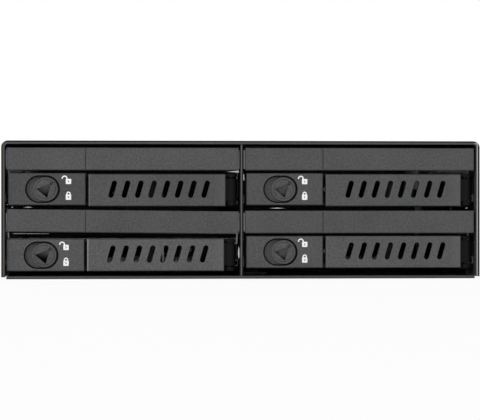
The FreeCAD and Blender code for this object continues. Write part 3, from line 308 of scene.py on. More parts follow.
# Face strips, front blocks and levers: moulded nylon, clipped and screwed to the sleds and sprayed dark
# grey.
# Each tray's grey is set apart, the lower left one lighter, partly as painted light for how brightly each
# front is lit. Round the hinges, behind the levers, the nylon is painted nearly black as shade in the hinge
# recess.
LOCKS = {}
for tray in ("upper_left", "upper_right", "lower_left", "lower_right"):
    low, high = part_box("lock_core_" + tray)
    LOCKS[tray] = Vector(((low.x + high.x) / 2, low.y, (low.z + high.z) / 2))

PLATE_LEFT = 0.013  # the ends of a lever's plate, from the middle of its lock
PLATE_RIGHT = 0.0546
# Per tray greys, partly painted light: lighter where a front looks more brightly lit.
SPRAYED = {  # the grey of the strip, the block and the lever
    "upper_left": (0.0475, 0.0335, 0.0435),
    "upper_right": (0.0440, 0.0410, 0.0450),
    "lower_left": (0.0435, 0.0510, 0.0630),
    "lower_right": (0.0435, 0.0455, 0.0525),
}
# How much lighter each plate's left edge is painted, as a painted highlight where its chamfer catches the
# light.
PLATE_LEFT_HIGHLIGHT = {"upper_left": 2.2, "upper_right": 1.5, "lower_left": 3.6, "lower_right": 1.5}
# Near black and unreflecting, painted as shade in the hinge recess.
PAINTED_HINGE_SHADE = (0.0130, 0.0130, 0.0134)


def sprayed(tray):
    """The three finishes of one tray's front."""
    strip, block, plate = ((grey, grey, grey * 1.04) for grey in SPRAYED[tray])
    middle = LOCKS[tray].x

    # Painted shade beyond the plate's right end, round the hinge.
    def hinge_recess_shade(coat):
        return coat.along("X").rise(middle + PLATE_RIGHT, middle + PLATE_RIGHT + 0.0001)

    # A painted highlight along the plate's left edge.
    def painted_left_highlight(coat):
        return coat.along("X").band(middle, middle + PLATE_LEFT + 0.00035, 0.0001)

    # A painted highlight, lighter towards the plate's right end.
    def painted_end_highlight(coat):
        reach = coat.along("X")
        return reach.rise(middle + PLATE_RIGHT - 0.004, middle + PLATE_RIGHT - 0.0005) * 0.5

    painted_highlights = [(painted_end_highlight, shade(plate, 1.4)), (painted_left_highlight, shade(plate, PLATE_LEFT_HIGHLIGHT[tray]))]
    for kind, tone, marks in (("face_strip", strip, []), ("front_block", block, []), ("lever", plate, painted_highlights)):
        coat = powder_coat("%s_coat_%s" % (kind, tray), tone, 1.8, 0.0002, marks)
        if kind != "face_strip":
            # Painted shade in the hinge recess: a near black matte surface.
            coat.over(hinge_recess_shade(coat), PAINTED_HINGE_SHADE)
        coat.dress("%s_%s" % (kind, tray))


for tray in LOCKS:
    sprayed(tray)


# Padlock marks: pad prints in white ink on each block, right of its button, an open padlock above and a
# closed one below. Each body has a small unprinted keyhole, and each shackle is a bent band.
def begin(name, shape, **size):
    """Adds one primitive by itself in the selection."""
    bpy.ops.object.select_all(action="DESELECT")
    getattr(bpy.ops.mesh, "primitive_%s_add" % shape)(**size)
    bpy.ops.object.transform_apply(location=True, rotation=True, scale=True)
    piece = bpy.context.object
    piece.name = name
    return piece


def take_up(*pieces):
    """Makes these pieces the selection, the last one active."""
    if bpy.context.object and bpy.context.object.mode == "EDIT":
        bpy.ops.object.mode_set(mode="OBJECT")
    bpy.ops.object.select_all(action="DESELECT")
    for piece in pieces:
        piece.select_set(True)
    bpy.context.view_layer.objects.active = pieces[-1]


def choose(piece, kind, test=lambda spot: True):
    """Goes into edit mode with all the vertices, edges or faces, or those whose middles pass a test."""
    take_up(piece)
    bpy.ops.object.mode_set(mode="EDIT")
    bpy.ops.mesh.select_mode(type=kind)
    bpy.ops.mesh.select_all(action="DESELECT")
    form = bmesh.from_edit_mesh(piece.data)
    if kind == "VERT":
        for point in form.verts:
            point.select_set(test(point.co))
    elif kind == "EDGE":
        for edge in form.edges:
            edge.select_set(test((edge.verts[0].co + edge.verts[1].co) / 2))
    else:
        for face in form.faces:
            face.select_set(test(face.calc_center_median()))
    form.select_flush_mode()
    bmesh.update_edit_mesh(piece.data)


def lay_down():
    """Leaves edit mode."""
    bpy.ops.object.mode_set(mode="OBJECT")


def carve(piece, cutter):
    """Cuts one piece with another, which is used up."""
    take_up(piece)
    cut = piece.modifiers.new("cut", "BOOLEAN")
    cut.operation = "DIFFERENCE"
    cut.solver = "EXACT"
    cut.object = cutter
    bpy.ops.object.modifier_apply(modifier="cut")
    bpy.data.objects.remove(cutter)


def join(*pieces):
    """One piece of several, named as the last."""
    take_up(*pieces)
    bpy.ops.object.join()
    return bpy.context.object


def copy_to(piece, name, offset, turn=None):
    """A copy with a mesh of its own, moved into its place."""
    twin = piece.copy()
    twin.data = piece.data.copy()
    bpy.context.scene.collection.objects.link(twin)
    twin.data.transform(Matrix.Translation(offset) @ (turn or Matrix.Identity(4)))
    twin.name = name
    twin.data.name = name
    return twin


def settle(piece, finish, body, smooth=None):
    """Finishes a piece: merged points, outward faces, its finish, and the body it moves with."""
    take_up(piece)
    bpy.ops.object.mode_set(mode="EDIT")
    bpy.ops.mesh.select_all(action="SELECT")
    bpy.ops.mesh.remove_doubles(threshold=0.000001)
    bpy.ops.mesh.normals_make_consistent(inside=False)
    lay_down()
    if smooth:
        bpy.ops.object.shade_smooth_by_angle(angle=math.radians(smooth))
    piece.data.materials.clear()
    piece.data.materials.append(finish.material)
    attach(piece, body)
    return piece


def put_away(*pieces):
    """Removes pieces that were only there to be copied."""
    for piece in pieces:
        bpy.data.objects.remove(piece)


FLAT = (math.pi / 2, 0, 0)  # turns a primitive to face the front
PRINT = 0.00003
MARK_WIDTH = 0.00164
KEYHOLE_RADIUS, KEYHOLE_RISE = 0.00017, 0.00012
OPEN_LOW, OPEN_HIGH = 0.00155, 0.00315
CLOSED_LOW, CLOSED_HIGH = -0.00325, -0.0016


def padlock_body(low, high):
    """A rounded block from one height to another, with a keyhole cut through it."""
    body = begin("padlock_body", "cube", size=1.0)
    choose(body, "FACE")
    bpy.ops.transform.resize(value=(MARK_WIDTH, PRINT, high - low))
    choose(body, "EDGE", lambda spot: abs(spot.y) < PRINT / 8)
    bpy.ops.mesh.bevel(offset=0.0002, segments=4)
    lay_down()
    body.data.transform(Matrix.Translation((0, 0, (low + high) / 2)))
    hole = begin("keyhole", "cylinder", vertices=16, radius=KEYHOLE_RADIUS, depth=0.001, rotation=FLAT)
    hole.data.transform(Matrix.Translation((0, 0, (low + high) / 2 + KEYHOLE_RISE)))
    slit = begin("keyhole_slit", "cube", size=KEYHOLE_RADIUS)
    choose(slit, "FACE")
    bpy.ops.transform.resize(value=(1.0, 6.0, 2.6))
    lay_down()
    slit.data.transform(Matrix.Translation((0, 0, (low + high) / 2 - KEYHOLE_RISE)))
    carve(body, hole)
    carve(body, slit)
    return body


def shackle(centre, low, radius, band, legs):
    """A half ring flattened to a band, its open ends drawn down into legs."""
    ring = begin(
        "shackle",
        "torus",
        major_radius=radius,
        minor_radius=band / 2,
        major_segments=32,
        minor_segments=8,
        rotation=FLAT,
    )
    choose(ring, "FACE")
    bpy.ops.mesh.bisect(plane_co=(0, 0, 0), plane_no=(0, 0, 1), clear_inner=True, use_fill=True)
    for side, leg in zip((-1, 1), legs):
        choose(ring, "FACE", lambda spot: abs(spot.z) < band / 20 and abs(spot.x - side * radius) < band / 2)
        bpy.ops.mesh.extrude_region_move(TRANSFORM_OT_translate={"value": (0, 0, -leg)})
    choose(ring, "FACE")
    bpy.ops.transform.resize(value=(1.0, PRINT / band, 1.0))
    lay_down()
    ring.data.transform(Matrix.Translation((centre, 0, low)))
    return ring


marks = join(
    shackle(centre=-0.00118, low=OPEN_HIGH + 0.0001, radius=0.00071, band=0.00038, legs=(0.0001, 0.0003)),
    shackle(centre=0.0, low=CLOSED_HIGH + 0.0002, radius=0.00048, band=0.00036, legs=(0.0003, 0.0003)),
    padlock_body(CLOSED_LOW, CLOSED_HIGH),
    padlock_body(OPEN_LOW, OPEN_HIGH),
)
white_ink = Finish("white ink", (0.86, 0.86, 0.86), 0.5)
ink_film = white_ink.noise(0.0004, 2.0)
white_ink.set(Base_Color=white_ink.mix(ink_film.rise(0.4, 0.6), (0.8, 0.8, 0.8), (0.9, 0.9, 0.9)))
MARK_RIGHT_OF_LOCK = {
    "upper_left": 0.0069,
    "upper_right": 0.00648,
    "lower_left": 0.0066,
    "lower_right": 0.0065,
}
for tray, lock in LOCKS.items():
    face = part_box("front_block_" + tray)[0].y - PRINT / 2
    spot = Vector((lock.x + MARK_RIGHT_OF_LOCK[tray], face, lock.z))
    mark = copy_to(marks, "padlock_marks_" + tray, spot)
    settle(mark, white_ink, "tray_" + tray)
put_away(marks)


# Button rings: thin lips of moulded black rubber that line each button's long hole, a near black ring put in
# as painted shade for the dark gap round the slider. Each one is pushed in from the front.
HOLE_LENGTH, HOLE_HEIGHT, HOLE_LEFT_OF_LOCK = 0.01055, 0.0084, 0.0020
RING_WALL, RING_DEPTH, RING_SUNK = 0.00038, 0.0008, 0.00005
shade_ring = begin("button_shade_ring", "circle", vertices=48, radius=HOLE_HEIGHT / 2, fill_type="NGON", rotation=FLAT)
choose(shade_ring, "VERT", lambda spot: spot.x > 0.00001)
bpy.ops.transform.translate(value=(HOLE_LENGTH - HOLE_HEIGHT, 0, 0))
choose(shade_ring, "FACE")
bpy.ops.mesh.inset(thickness=RING_WALL)
bpy.ops.mesh.delete(type="FACE")
choose(shade_ring, "FACE")
bpy.ops.mesh.extrude_region_move(TRANSFORM_OT_translate={"value": (0, RING_DEPTH, 0)})
lay_down()
# Near black and unreflecting; it serves as painted shade in the gaps round the buttons and beside the upper
# left block.
rubber = Finish("black rubber", (0.003, 0.003, 0.003), 0.9)
bloom = rubber.noise(0.0008, 3.0)
rubber.set(
    Base_Color=rubber.mix(bloom, (0.001, 0.001, 0.001), (0.004, 0.004, 0.0042)),
    Roughness=0.8 + 0.2 * bloom,
    Specular_IOR_Level=0.05,
)
for tray, lock in LOCKS.items():
    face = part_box("front_block_" + tray)[0].y
    spot = Vector((lock.x - HOLE_LEFT_OF_LOCK, face + RING_SUNK, lock.z))
    settle(copy_to(shade_ring, "button_shade_ring_" + tray, spot), rubber, "tray_" + tray, 40)
put_away(shade_ring)


# Release sliders: round nylon buttons on flat carriages that run sideways behind the blocks, sprayed in the
# same grey, their edges a little lighter, partly finger wear and partly a painted highlight.
for tray in LOCKS:
    powder_coat("slider_coat_" + tray, (0.05, 0.05, 0.052), 1.5, 0.0002).dress("release_slider_" + tray)


# Lock cores: die cast zinc discs, sprayed grey, that turn in the sliders. A three-cornered key socket is
# sunk into the face, deepest at its lowest corner and running out towards a small ringed dot at its upper
# right one.
CORE_RADIUS, CORE_DEPTH, CORE_ROUND = 0.00305, 0.0024, 0.00022
SOCKET_CLEAR = 0.0005  # how far the socket's cutter stands in front of the face
DOT_RADIUS, DOT_HOLE, DOT_LENGTH = 0.00046, 0.00026, 0.0036
# The socket's corners, across and up from the middle, and how deep each is sunk.
CORNERS = (((-0.00285, 0.0001), 0.0009), ((0.00045, -0.0027), 0.0017), ((0.00175, 0.0018), 0.00012))
core = begin(
    "lock_core",
    "cylinder",
    vertices=64,
    radius=CORE_RADIUS,
    depth=CORE_DEPTH,
    location=(0, CORE_DEPTH / 2, 0),
    rotation=FLAT,
)
choose(core, "EDGE", lambda spot: spot.y < 0.00001 and spot.xz.length > CORE_RADIUS * 0.98)
bpy.ops.mesh.bevel(offset=CORE_ROUND, segments=3)
lay_down()
socket = begin("key_socket", "circle", vertices=3, radius=0.001, fill_type="NGON", rotation=FLAT)
for point, ((across, up), depth) in zip([v.co.copy() for v in socket.data.vertices], CORNERS):
    choose(socket, "VERT", lambda spot: (spot - point).length < 0.0001)
    bpy.ops.transform.translate(value=Vector((across, -SOCKET_CLEAR, up)) - point)
choose(socket, "FACE")
bpy.ops.mesh.extrude_region_move(TRANSFORM_OT_translate={"value": (0, SOCKET_CLEAR, 0)})
for corner, depth in CORNERS:
    corner = Vector((corner[0], 0.0, corner[1]))
    choose(socket, "VERT", lambda spot: (spot - corner).length < 0.0001)
    bpy.ops.transform.translate(value=(0, depth, 0))
choose(socket, "FACE")
bpy.ops.mesh.normals_make_consistent(inside=False)
lay_down()
carve(core, socket)
dot = begin("dot_ring", "cylinder", vertices=24, radius=DOT_RADIUS, depth=DOT_LENGTH, rotation=FLAT)
choose(dot, "FACE", lambda spot: abs(spot.y) > DOT_LENGTH / 3)
bpy.ops.mesh.inset(thickness=DOT_RADIUS - DOT_HOLE, use_individual=True)
bpy.ops.mesh.delete(type="FACE")
choose(dot, "EDGE", lambda spot: abs(spot.y) > DOT_LENGTH / 3 and spot.xz.length < DOT_HOLE * 1.1)
bpy.ops.mesh.bridge_edge_loops()
lay_down()
(across, up), depth = CORNERS[-1]
dot.data.transform(Matrix.Translation((across, 0, up)))
carve(core, dot)

# How far behind the face the key socket's painted shade begins, and where it is full black.
SOCKET_SHADE_DEPTHS = {
    "upper_left": (0.0004, 0.0018),
    "upper_right": (0.0011, 0.0018),
    "lower_left": (0.0002, 0.0013),
    "lower_right": (0.0011, 0.0018),
}
for tray, lock in LOCKS.items():
    start, full = SOCKET_SHADE_DEPTHS[tray]
    core_coat = powder_coat("core_coat_" + tray, (0.043, 0.043, 0.045), 1.6, 0.0001)
    # Painted shade: the key socket turns black with depth, where shade falls.
    core_coat.over(core_coat.along("Y").rise(lock.y + start, lock.y + full), (0.001, 0.001, 0.001))
    disc = settle(copy_to(core, "key_lock_" + tray, lock), core_coat, "lock_" + tray, 30)
    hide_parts("lock_core_" + tray)
put_away(core)


# Lever springs, leaf springs and hinge pins: drawn spring steel, blued when it was hardened, with faint
# streaks along the draw. The leaf springs are hooked over the sleds, and the pins are pressed through the
# hinge ears.
def drawn_steel(name, tone, rough=0.28):
    """A metal finish with fine streaks along X."""
    steel = Finish(name, tone, rough, 1.0)
    streak = steel.noise(0.0003, 3.0, (0.15, 1.0, 1.0))
    steel.set(
        Base_Color=steel.mix(streak, shade(tone, 0.8), tuple(min(part * 1.15, 1.0) for part in tone)),
        Roughness=rough - 0.08 + 0.18 * streak,
    )
    steel.relief(streak, 0.000008, 0.0001)
    return steel


blued = drawn_steel("blued steel", (0.02, 0.02, 0.022), 0.45)
for tray in LOCKS:
    blued.dress("lever_spring_" + tray, "leaf_springs_" + tray, "hinge_pin_" + tray)


# Release springs: long coils of blued wire that lie behind each slider, between the end of their channel and
# the slider's tab. The tab presses each coil shorter, towards its left end.
WIRE_RADIUS, COIL_PITCH, COIL_STEPS, SLIDER_TRAVEL = 0.00018, 0.0015, 20, 0.0022
for tray in LOCKS:
    node = "release_spring_" + tray
    low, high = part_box(node)
    length = high.x - low.x - 2 * WIRE_RADIUS
    turns = int(length / COIL_PITCH)
    coil = begin("pressed_spring_" + tray, "circle", vertices=8, radius=WIRE_RADIUS, rotation=FLAT)
    coil.data.transform(Matrix.Translation((0, 0, (high.z - low.z) / 2 - WIRE_RADIUS)))
    wound = coil.modifiers.new("wound", "SCREW")
    wound.axis = "X"
    wound.screw_offset = length / turns
    wound.iterations = turns
    wound.steps = wound.render_steps = COIL_STEPS
    bpy.ops.object.modifier_apply(modifier="wound")
    choose(coil, "EDGE", lambda spot: False)
    bpy.ops.mesh.select_non_manifold()
    bpy.ops.mesh.fill_holes(sides=0)
    lay_down()
    left_end = Vector((low.x + WIRE_RADIUS, (low.y + high.y) / 2, (low.z + high.z) / 2))
    coil.data.transform(Matrix.Translation(left_end))
    settle(coil, blued, "tray_" + tray, 60)
    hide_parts(node)
    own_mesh(coil)


# Contact fingers: bright spring steel tabs that press on the divider and the floor of each bay and earth the
# trays. They are bent from strip and hooked into the sleds, and only their ends show in the gaps.
bright = drawn_steel("bright steel", (0.62, 0.62, 0.63))
FINGER_DEPTH = 0.0012


def finger(name, tray, corners):
    """A tab with its outline given across and up, and its front edge level with the sled's."""
    tab = begin(name, "circle", vertices=len(corners), radius=0.001, fill_type="NGON", rotation=FLAT)
    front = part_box("sled_" + tray)[0].y
    for point, (across, up) in zip([v.co.copy() for v in tab.data.vertices], corners):
        choose(tab, "VERT", lambda spot: (spot - point).length < 0.00001)
        bpy.ops.transform.translate(value=Vector((across, front, up)) - point)
    choose(tab, "FACE")
    bpy.ops.mesh.extrude_region_move(TRANSFORM_OT_translate={"value": (0, FINGER_DEPTH, 0)})
    settle(tab, bright, "tray_" + tray)


DIVIDER_FINGERS = {
    "upper_left": ((-0.0047, 0.03262), (-0.0008, 0.0324), (-0.0008, 0.03295), (-0.0025, 0.03288)),
    "lower_left": (
        (-0.00085, 0.0058),
        (-0.0006, 0.0068),
        (-0.0006, 0.0089),
        (-0.00085, 0.0099),
        (-0.00105, 0.0085),
        (-0.00105, 0.0071),
    ),
    "upper_right": ((0.00055, 0.0300), (0.00085, 0.0300), (0.0008, 0.0318), (0.0005, 0.0320)),
}
for tray, corners in DIVIDER_FINGERS.items():
    finger("divider_finger_" + tray, tray, corners)

# The height of the floor fingers' tips, and the left and right end of each one.
FLOOR_FINGERS = {
    "upper_left": (0.02165, ((-0.0702, -0.0695), (-0.0667, -0.0633))),
    "upper_right": (0.02135, ((0.0082, 0.0137), (0.0691, 0.0699))),
}
for tray, (tip, spans) in FLOOR_FINGERS.items():
    for index, (left, right) in enumerate(spans, 1):
        middle = (left + right) / 2
        corners = ((left, tip + 0.0001), (middle, tip), (right, tip + 0.0001), (middle, tip + 0.0003))
        finger("floor_finger_%s_%d" % (tray, index), tray, corners)

strip_corners = ((-0.0696, 0.01372), (-0.0588, 0.01366), (-0.0588, 0.01376), (-0.0696, 0.01386))
finger("strip_finger_lower_left", "lower_left", strip_corners)


# Shade pad: a strip of black foam rubber with an adhesive back, cut by hand and stuck beside the upper
# left block, below its side spring. It closes the gap to the wall, a dark sheet put in as painted shade.
PAD_THICK, PAD_DEPTH, PAD_HEIGHT = 0.00082, 0.0012, 0.0033
PAD_BEHIND_FRONT, PAD_BELOW_LOCK = 0.0108, 0.00295
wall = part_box("front_block_upper_left")[0].x
shade_pad = begin("shade_pad_upper_left", "plane", size=1.0, rotation=(0, math.pi / 2, 0))
choose(shade_pad, "FACE")
bpy.ops.transform.resize(value=(1.0, PAD_DEPTH, PAD_HEIGHT))
pad_middle = (wall, FRONT + PAD_BEHIND_FRONT, LOCKS["upper_left"].z - PAD_BELOW_LOCK)
bpy.ops.transform.translate(value=pad_middle)
bpy.ops.mesh.extrude_region_move(TRANSFORM_OT_translate={"value": (-PAD_THICK, 0, 0)})
choose(shade_pad, "EDGE", lambda spot: spot.x < wall - PAD_THICK * 0.85)
bpy.ops.mesh.bevel(offset=0.0001, segments=2)
lay_down()
settle(shade_pad, rubber, "tray_upper_left")


# Sleds: thin steel sheet with a zinc coat that froze in faint spangles, punched with air openings and drive
# holes and folded into channels.
SPANGLES_PER_METRE = 420.0


def zinc_plate():
    """A bright finish of small flat crystals."""
    zinc = Finish("zinc plate", (0.5, 0.5, 0.52), 0.32, 1.0)
    values = {"Vector": zinc.place(), "Scale": SPANGLES_PER_METRE}
    cells = zinc.node("ShaderNodeTexVoronoi", {}, values, "Color")
    spangle = zinc.node("ShaderNodeSeparateColor", {}, {0: cells}, 0)
    fine = zinc.noise(0.0004, 3.0)
    zinc.set(
        Base_Color=zinc.mix(spangle, (0.44, 0.45, 0.47), (0.58, 0.59, 0.61)),
        Roughness=0.26 + 0.1 * spangle + 0.08 * fine,
    )
    zinc.relief(fine, 0.00001, 0.0001)
    return zinc


zinc_plate().dress(*("sled_" + tray for tray in LOCKS))


# Backplane: a glass fibre board with etched copper traces under dark green solder mask. It is screwed to the
# cage in front of the fans and carries the sockets and ports.
TRACES_PER_METRE = 900.0


def solder_mask():
    """Green lacquer, raised and lighter where a trace runs under it."""
    mask = Finish("solder mask", (0.008, 0.05, 0.022), 0.35)
    steps = mask.along("X") * TRACES_PER_METRE
    lines = steps.maths("FRACT", steps).rise(0.55, 0.65)
    routed = mask.noise(0.006, 1.0, (1.0, 1.0, 0.35)).rise(0.52, 0.54)
    traces = lines * routed
    cloud = mask.noise(0.004, 3.0)
    plain = mask.mix(cloud, (0.003, 0.018, 0.008), (0.006, 0.03, 0.013))
    mask.set(Base_Color=mask.mix(traces, plain, (0.012, 0.06, 0.026)), Roughness=0.28 + 0.14 * cloud)
    mask.relief(traces, 0.00004, 0.0001)
    return mask


solder_mask().dress("backplane_board")


# Sockets, ports and fan bodies: glass-filled nylon, moulded black with a faint flow texture. The headers and
# the small parts on the board are moulded in undyed nylon.
def moulded(name, tone, rough=0.45):
    """A plain plastic finish, cloudy where it flowed and finely grained."""
    plastic = Finish(name, tone, rough)
    flow = plastic.noise(0.0009, 4.0, (1.0, 0.4, 1.0))
    speck = plastic.noise(0.00015, 1.0)
    plastic.set(
        Base_Color=plastic.mix(flow, shade(tone, 0.7), shade(tone, 1.35)),
        Roughness=rough - 0.1 + 0.2 * flow,
    )
    plastic.relief(speck * 0.6 + flow * 0.4, 0.00002, 0.00015)
    return plastic


black_nylon = moulded("black nylon", (0.014, 0.014, 0.015))
black_nylon.dress("drive_sockets", "data_ports", "power_ports", "fan_frame_left", "fan_frame_right")
moulded("natural nylon", (0.5, 0.48, 0.42), 0.5).dress("board_parts")


# Contacts: gold plated spring blades, pressed into each drive socket in one comb of 22, seven for data and
# fifteen for power. Each blade is bowed towards the drive's tongue.
gold = drawn_steel("gold plate", (0.85, 0.6, 0.25), 0.25)
BLADE_WIDTH, BLADE_LENGTH, BLADE_THICK = 0.0007, 0.0045, 0.00015
SOCKET_LENGTH, SOCKET_RISE = 0.037, 0.0192
CONTACTS, DATA_CONTACTS, CONTACT_PITCH = 22, 7, 0.00127
COMB_LEFT, COMB_BEHIND, COMB_UP = 0.0030, 0.0002, 0.0023
KEY_GAP = 0.0031  # what the socket's key adds between the data and the power contacts


def contact_blade():
    """One bowed contact blade, lying along Y from the origin."""
    strip = begin("contact_blade", "cube", size=1.0)
    choose(strip, "FACE")
    bpy.ops.transform.resize(value=(BLADE_WIDTH, BLADE_LENGTH, BLADE_THICK))
    bpy.ops.transform.translate(value=(0, BLADE_LENGTH / 2, 0))
    choose(strip, "EDGE", lambda spot: abs(spot.y - BLADE_LENGTH / 2) < BLADE_LENGTH * 0.1)
    bpy.ops.mesh.subdivide(number_cuts=3)
    for share, rise in ((0.25, 0.7), (0.5, 1.0), (0.75, 0.7)):
        choose(strip, "VERT", lambda spot: abs(spot.y - BLADE_LENGTH * share) < BLADE_LENGTH * 0.05)
        bpy.ops.transform.translate(value=(0, 0, BLADE_THICK * 2 * rise))
    lay_down()
    return strip


contact = contact_blade()
socket_low, socket_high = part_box("drive_sockets")
for tray, lock in LOCKS.items():
    left = socket_low.x if lock.x < 0 else socket_high.x - SOCKET_LENGTH
    low = socket_low.z if "lower" in tray else socket_low.z + SOCKET_RISE
    comb = []
    for index in range(CONTACTS):
        across = left + COMB_LEFT + CONTACT_PITCH * index + (KEY_GAP if index >= DATA_CONTACTS else 0.0)
        spot = Vector((across, socket_low.y + COMB_BEHIND, low + COMB_UP))
        comb.append(copy_to(contact, "contact_comb_" + tray, spot))
    settle(join(*comb), gold, "cage", 30)
put_away(contact)


# Chips: black epoxy packages soldered to the back of the board, between the ports, on two rows of bright
# bent legs each.
CHIP_SIZE, CHIP_THICK = 0.005, 0.0009
LEG_LENGTH, LEG_THICK, LEG_WIDTH, LEG_PITCH, LEGS_IN_A_ROW = 0.0009, 0.00015, 0.0003, 0.00076, 6
FOOT_LENGTH, FOOT_DROP = 0.0004, 0.0003
LEG_OUT = 0.0027  # from the chip's middle to a leg's middle
CHIP_RISE = 0.0006  # from the board to the chip's middle
CHIP_PLACES = ((-0.0195, 0.0085), (0.0195, 0.0085), (0.0, 0.0335))


def chip():
    """A package with its far face chamfered."""
    body = begin("chip", "cube", size=1.0)
    choose(body, "FACE")
    bpy.ops.transform.resize(value=(CHIP_SIZE, CHIP_THICK, CHIP_SIZE))
    choose(body, "FACE", lambda spot: spot.y > CHIP_THICK / 4)
    bpy.ops.mesh.bevel(offset=0.0002, segments=2)
    lay_down()
    return body


def leg():
    """A flat leg along +X that ends in a foot bent down to the board."""
    foot = begin("chip_leg", "cube", size=1.0)
    choose(foot, "FACE")
    bpy.ops.transform.resize(value=(LEG_LENGTH, LEG_THICK, LEG_WIDTH))
    choose(foot, "FACE", lambda spot: spot.x > LEG_LENGTH * 0.45)
    bpy.ops.mesh.extrude_region_move(TRANSFORM_OT_translate={"value": (FOOT_LENGTH, -FOOT_DROP, 0)})
    lay_down()
    return foot


board_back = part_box("backplane_board")[1].y
body, foot = chip(), leg()
turned = Matrix.Rotation(math.pi, 4, "Y")
for index, (across, up) in enumerate(CHIP_PLACES, 1):
    spot = Vector((across, board_back + CHIP_RISE, up))
    settle(copy_to(body, "chip_%d" % index, spot), black_nylon, "cage")
    legs = []
    for row in range(LEGS_IN_A_ROW):
        rise = LEG_PITCH * (row - (LEGS_IN_A_ROW - 1) / 2)
        for out, turn in ((LEG_OUT, None), (-LEG_OUT, turned)):
            legs.append(copy_to(foot, "chip_legs_%d" % index, spot + Vector((out, 0.0, rise)), turn))
    settle(join(*legs), bright, "cage")
put_away(body, foot)


# Screws: bright zinc plated steel, with pan heads and a pressed cross recess. Two hold each tray's block,
# the board is screwed to the cage, and four hold each fan.
HEAD_RADIUS = {"board_screws": 0.0026, "fan_screws": 0.00275}
HEAD_RISE, SHANK_LENGTH, SHANK_SUNK = 0.0016, 0.0016, 0.0007


def pan_head(radius):
    """A rounded head that stands on the XZ plane, its recess facing back along +Y."""
    head = begin(
        "pan_head",
        "cylinder",
        vertices=32,
        radius=radius,
        depth=HEAD_RISE,
        location=(0, HEAD_RISE / 2, 0),
        rotation=FLAT,
    )
    choose(head, "FACE", lambda spot: spot.y > HEAD_RISE * 0.98)
    bpy.ops.mesh.bevel(offset=HEAD_RISE * 0.45, segments=4)
    lay_down()
    for turn in (0.0, math.pi / 2):
        recess = begin("recess", "cube", size=1.0)
        choose(recess, "FACE")
        bpy.ops.transform.resize(value=(radius * 1.15, HEAD_RISE * 1.2, radius * 0.26))
        choose(recess, "FACE", lambda spot: spot.y < -HEAD_RISE * 0.5)
        bpy.ops.transform.resize(value=(0.45, 1.0, 0.6))
        lay_down()
        recess.data.transform(Matrix.Translation((0, HEAD_RISE, 0)) @ Matrix.Rotation(turn, 4, "Y"))
        carve(head, recess)
    return head


def screw_places(node):
    """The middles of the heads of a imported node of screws, from its own loose parts."""
    form = bmesh.new()
    form.from_mesh(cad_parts[node].data)
    bmesh.ops.remove_doubles(form, verts=form.verts, dist=0.00001)
    left = set(form.verts)
    spots = []
    while left:
        found, edge = set(), [left.pop()]
        while edge:
            point = edge.pop()
            found.add(point)
            for side in point.link_edges:
                other = side.other_vert(point)
                if other in left:
                    left.discard(other)
                    edge.append(other)
        xs, ys, zs = ([getattr(point.co, axis) for point in found] for axis in "xyz")
        spots.append(Vector(((min(xs) + max(xs)) / 2, max(ys), (min(zs) + max(zs)) / 2)))
    form.free()
    return sorted(spots, key=tuple)


for node, radius in HEAD_RADIUS.items():
    head = pan_head(radius)
    shank = begin("shank", "cylinder", vertices=20, radius=radius * 0.5, depth=SHANK_LENGTH, rotation=FLAT)
    choose(shank, "FACE", lambda spot: spot.y < -SHANK_LENGTH * 0.44)
    bpy.ops.mesh.bevel(offset=0.0002, segments=2)
    lay_down()
    shank.data.transform(Matrix.Translation((0, -SHANK_SUNK, 0)))
    screw = join(shank, head)
    name = node.replace("screws", "screw_heads")
    screws = [copy_to(screw, name, spot - Vector((0, HEAD_RISE, 0))) for spot in screw_places(node)]
    made = settle(join(*screws), bright, "cage", 30)
    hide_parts(node)
    put_away(screw)
bright.dress(*("block_screws_" + tray for tray in LOCKS))


# Fan wheels: a black nylon cup moulded in one with seven swept and twisted blades, pressed on a steel shaft
# that turns in the fan's frame. The cup's face is shallowly dished and its rim rounded.
HUB_RADIUS, HUB_ROUND, DISH_RIM, DISH_DEPTH = 0.0098, 0.0009, 0.0012, 0.0003
BLADES, WING_THICK, WING_ROOT, WING_SUNK = 7, 0.0007, 0.0006, 0.0005
WING_SHARE, BOW_SHARE = 0.82, 0.42  # of the cup's depth: how deep a blade is, and half of its bow
LEAN_AT_HUB, LEAN_LOST = 52, 22  # degrees
BOW, SWEEP = 0.0009, 0.0035


def hub(depth):
    """The cup, its face on the XZ plane."""
    cup = begin(
        "hub",
        "cylinder",
        vertices=64,
        radius=HUB_RADIUS,
        depth=depth,
        location=(0, depth / 2, 0),
        rotation=FLAT,
    )
    choose(cup, "EDGE", lambda spot: spot.y < 0.00001 and spot.xz.length > HUB_RADIUS * 0.98)
    bpy.ops.mesh.bevel(offset=HUB_ROUND, segments=4)
    choose(cup, "FACE", lambda spot: spot.y < 0.00001)
    bpy.ops.mesh.inset(thickness=DISH_RIM)
    bpy.ops.transform.translate(value=(0, DISH_DEPTH, 0))
    lay_down()
    return cup


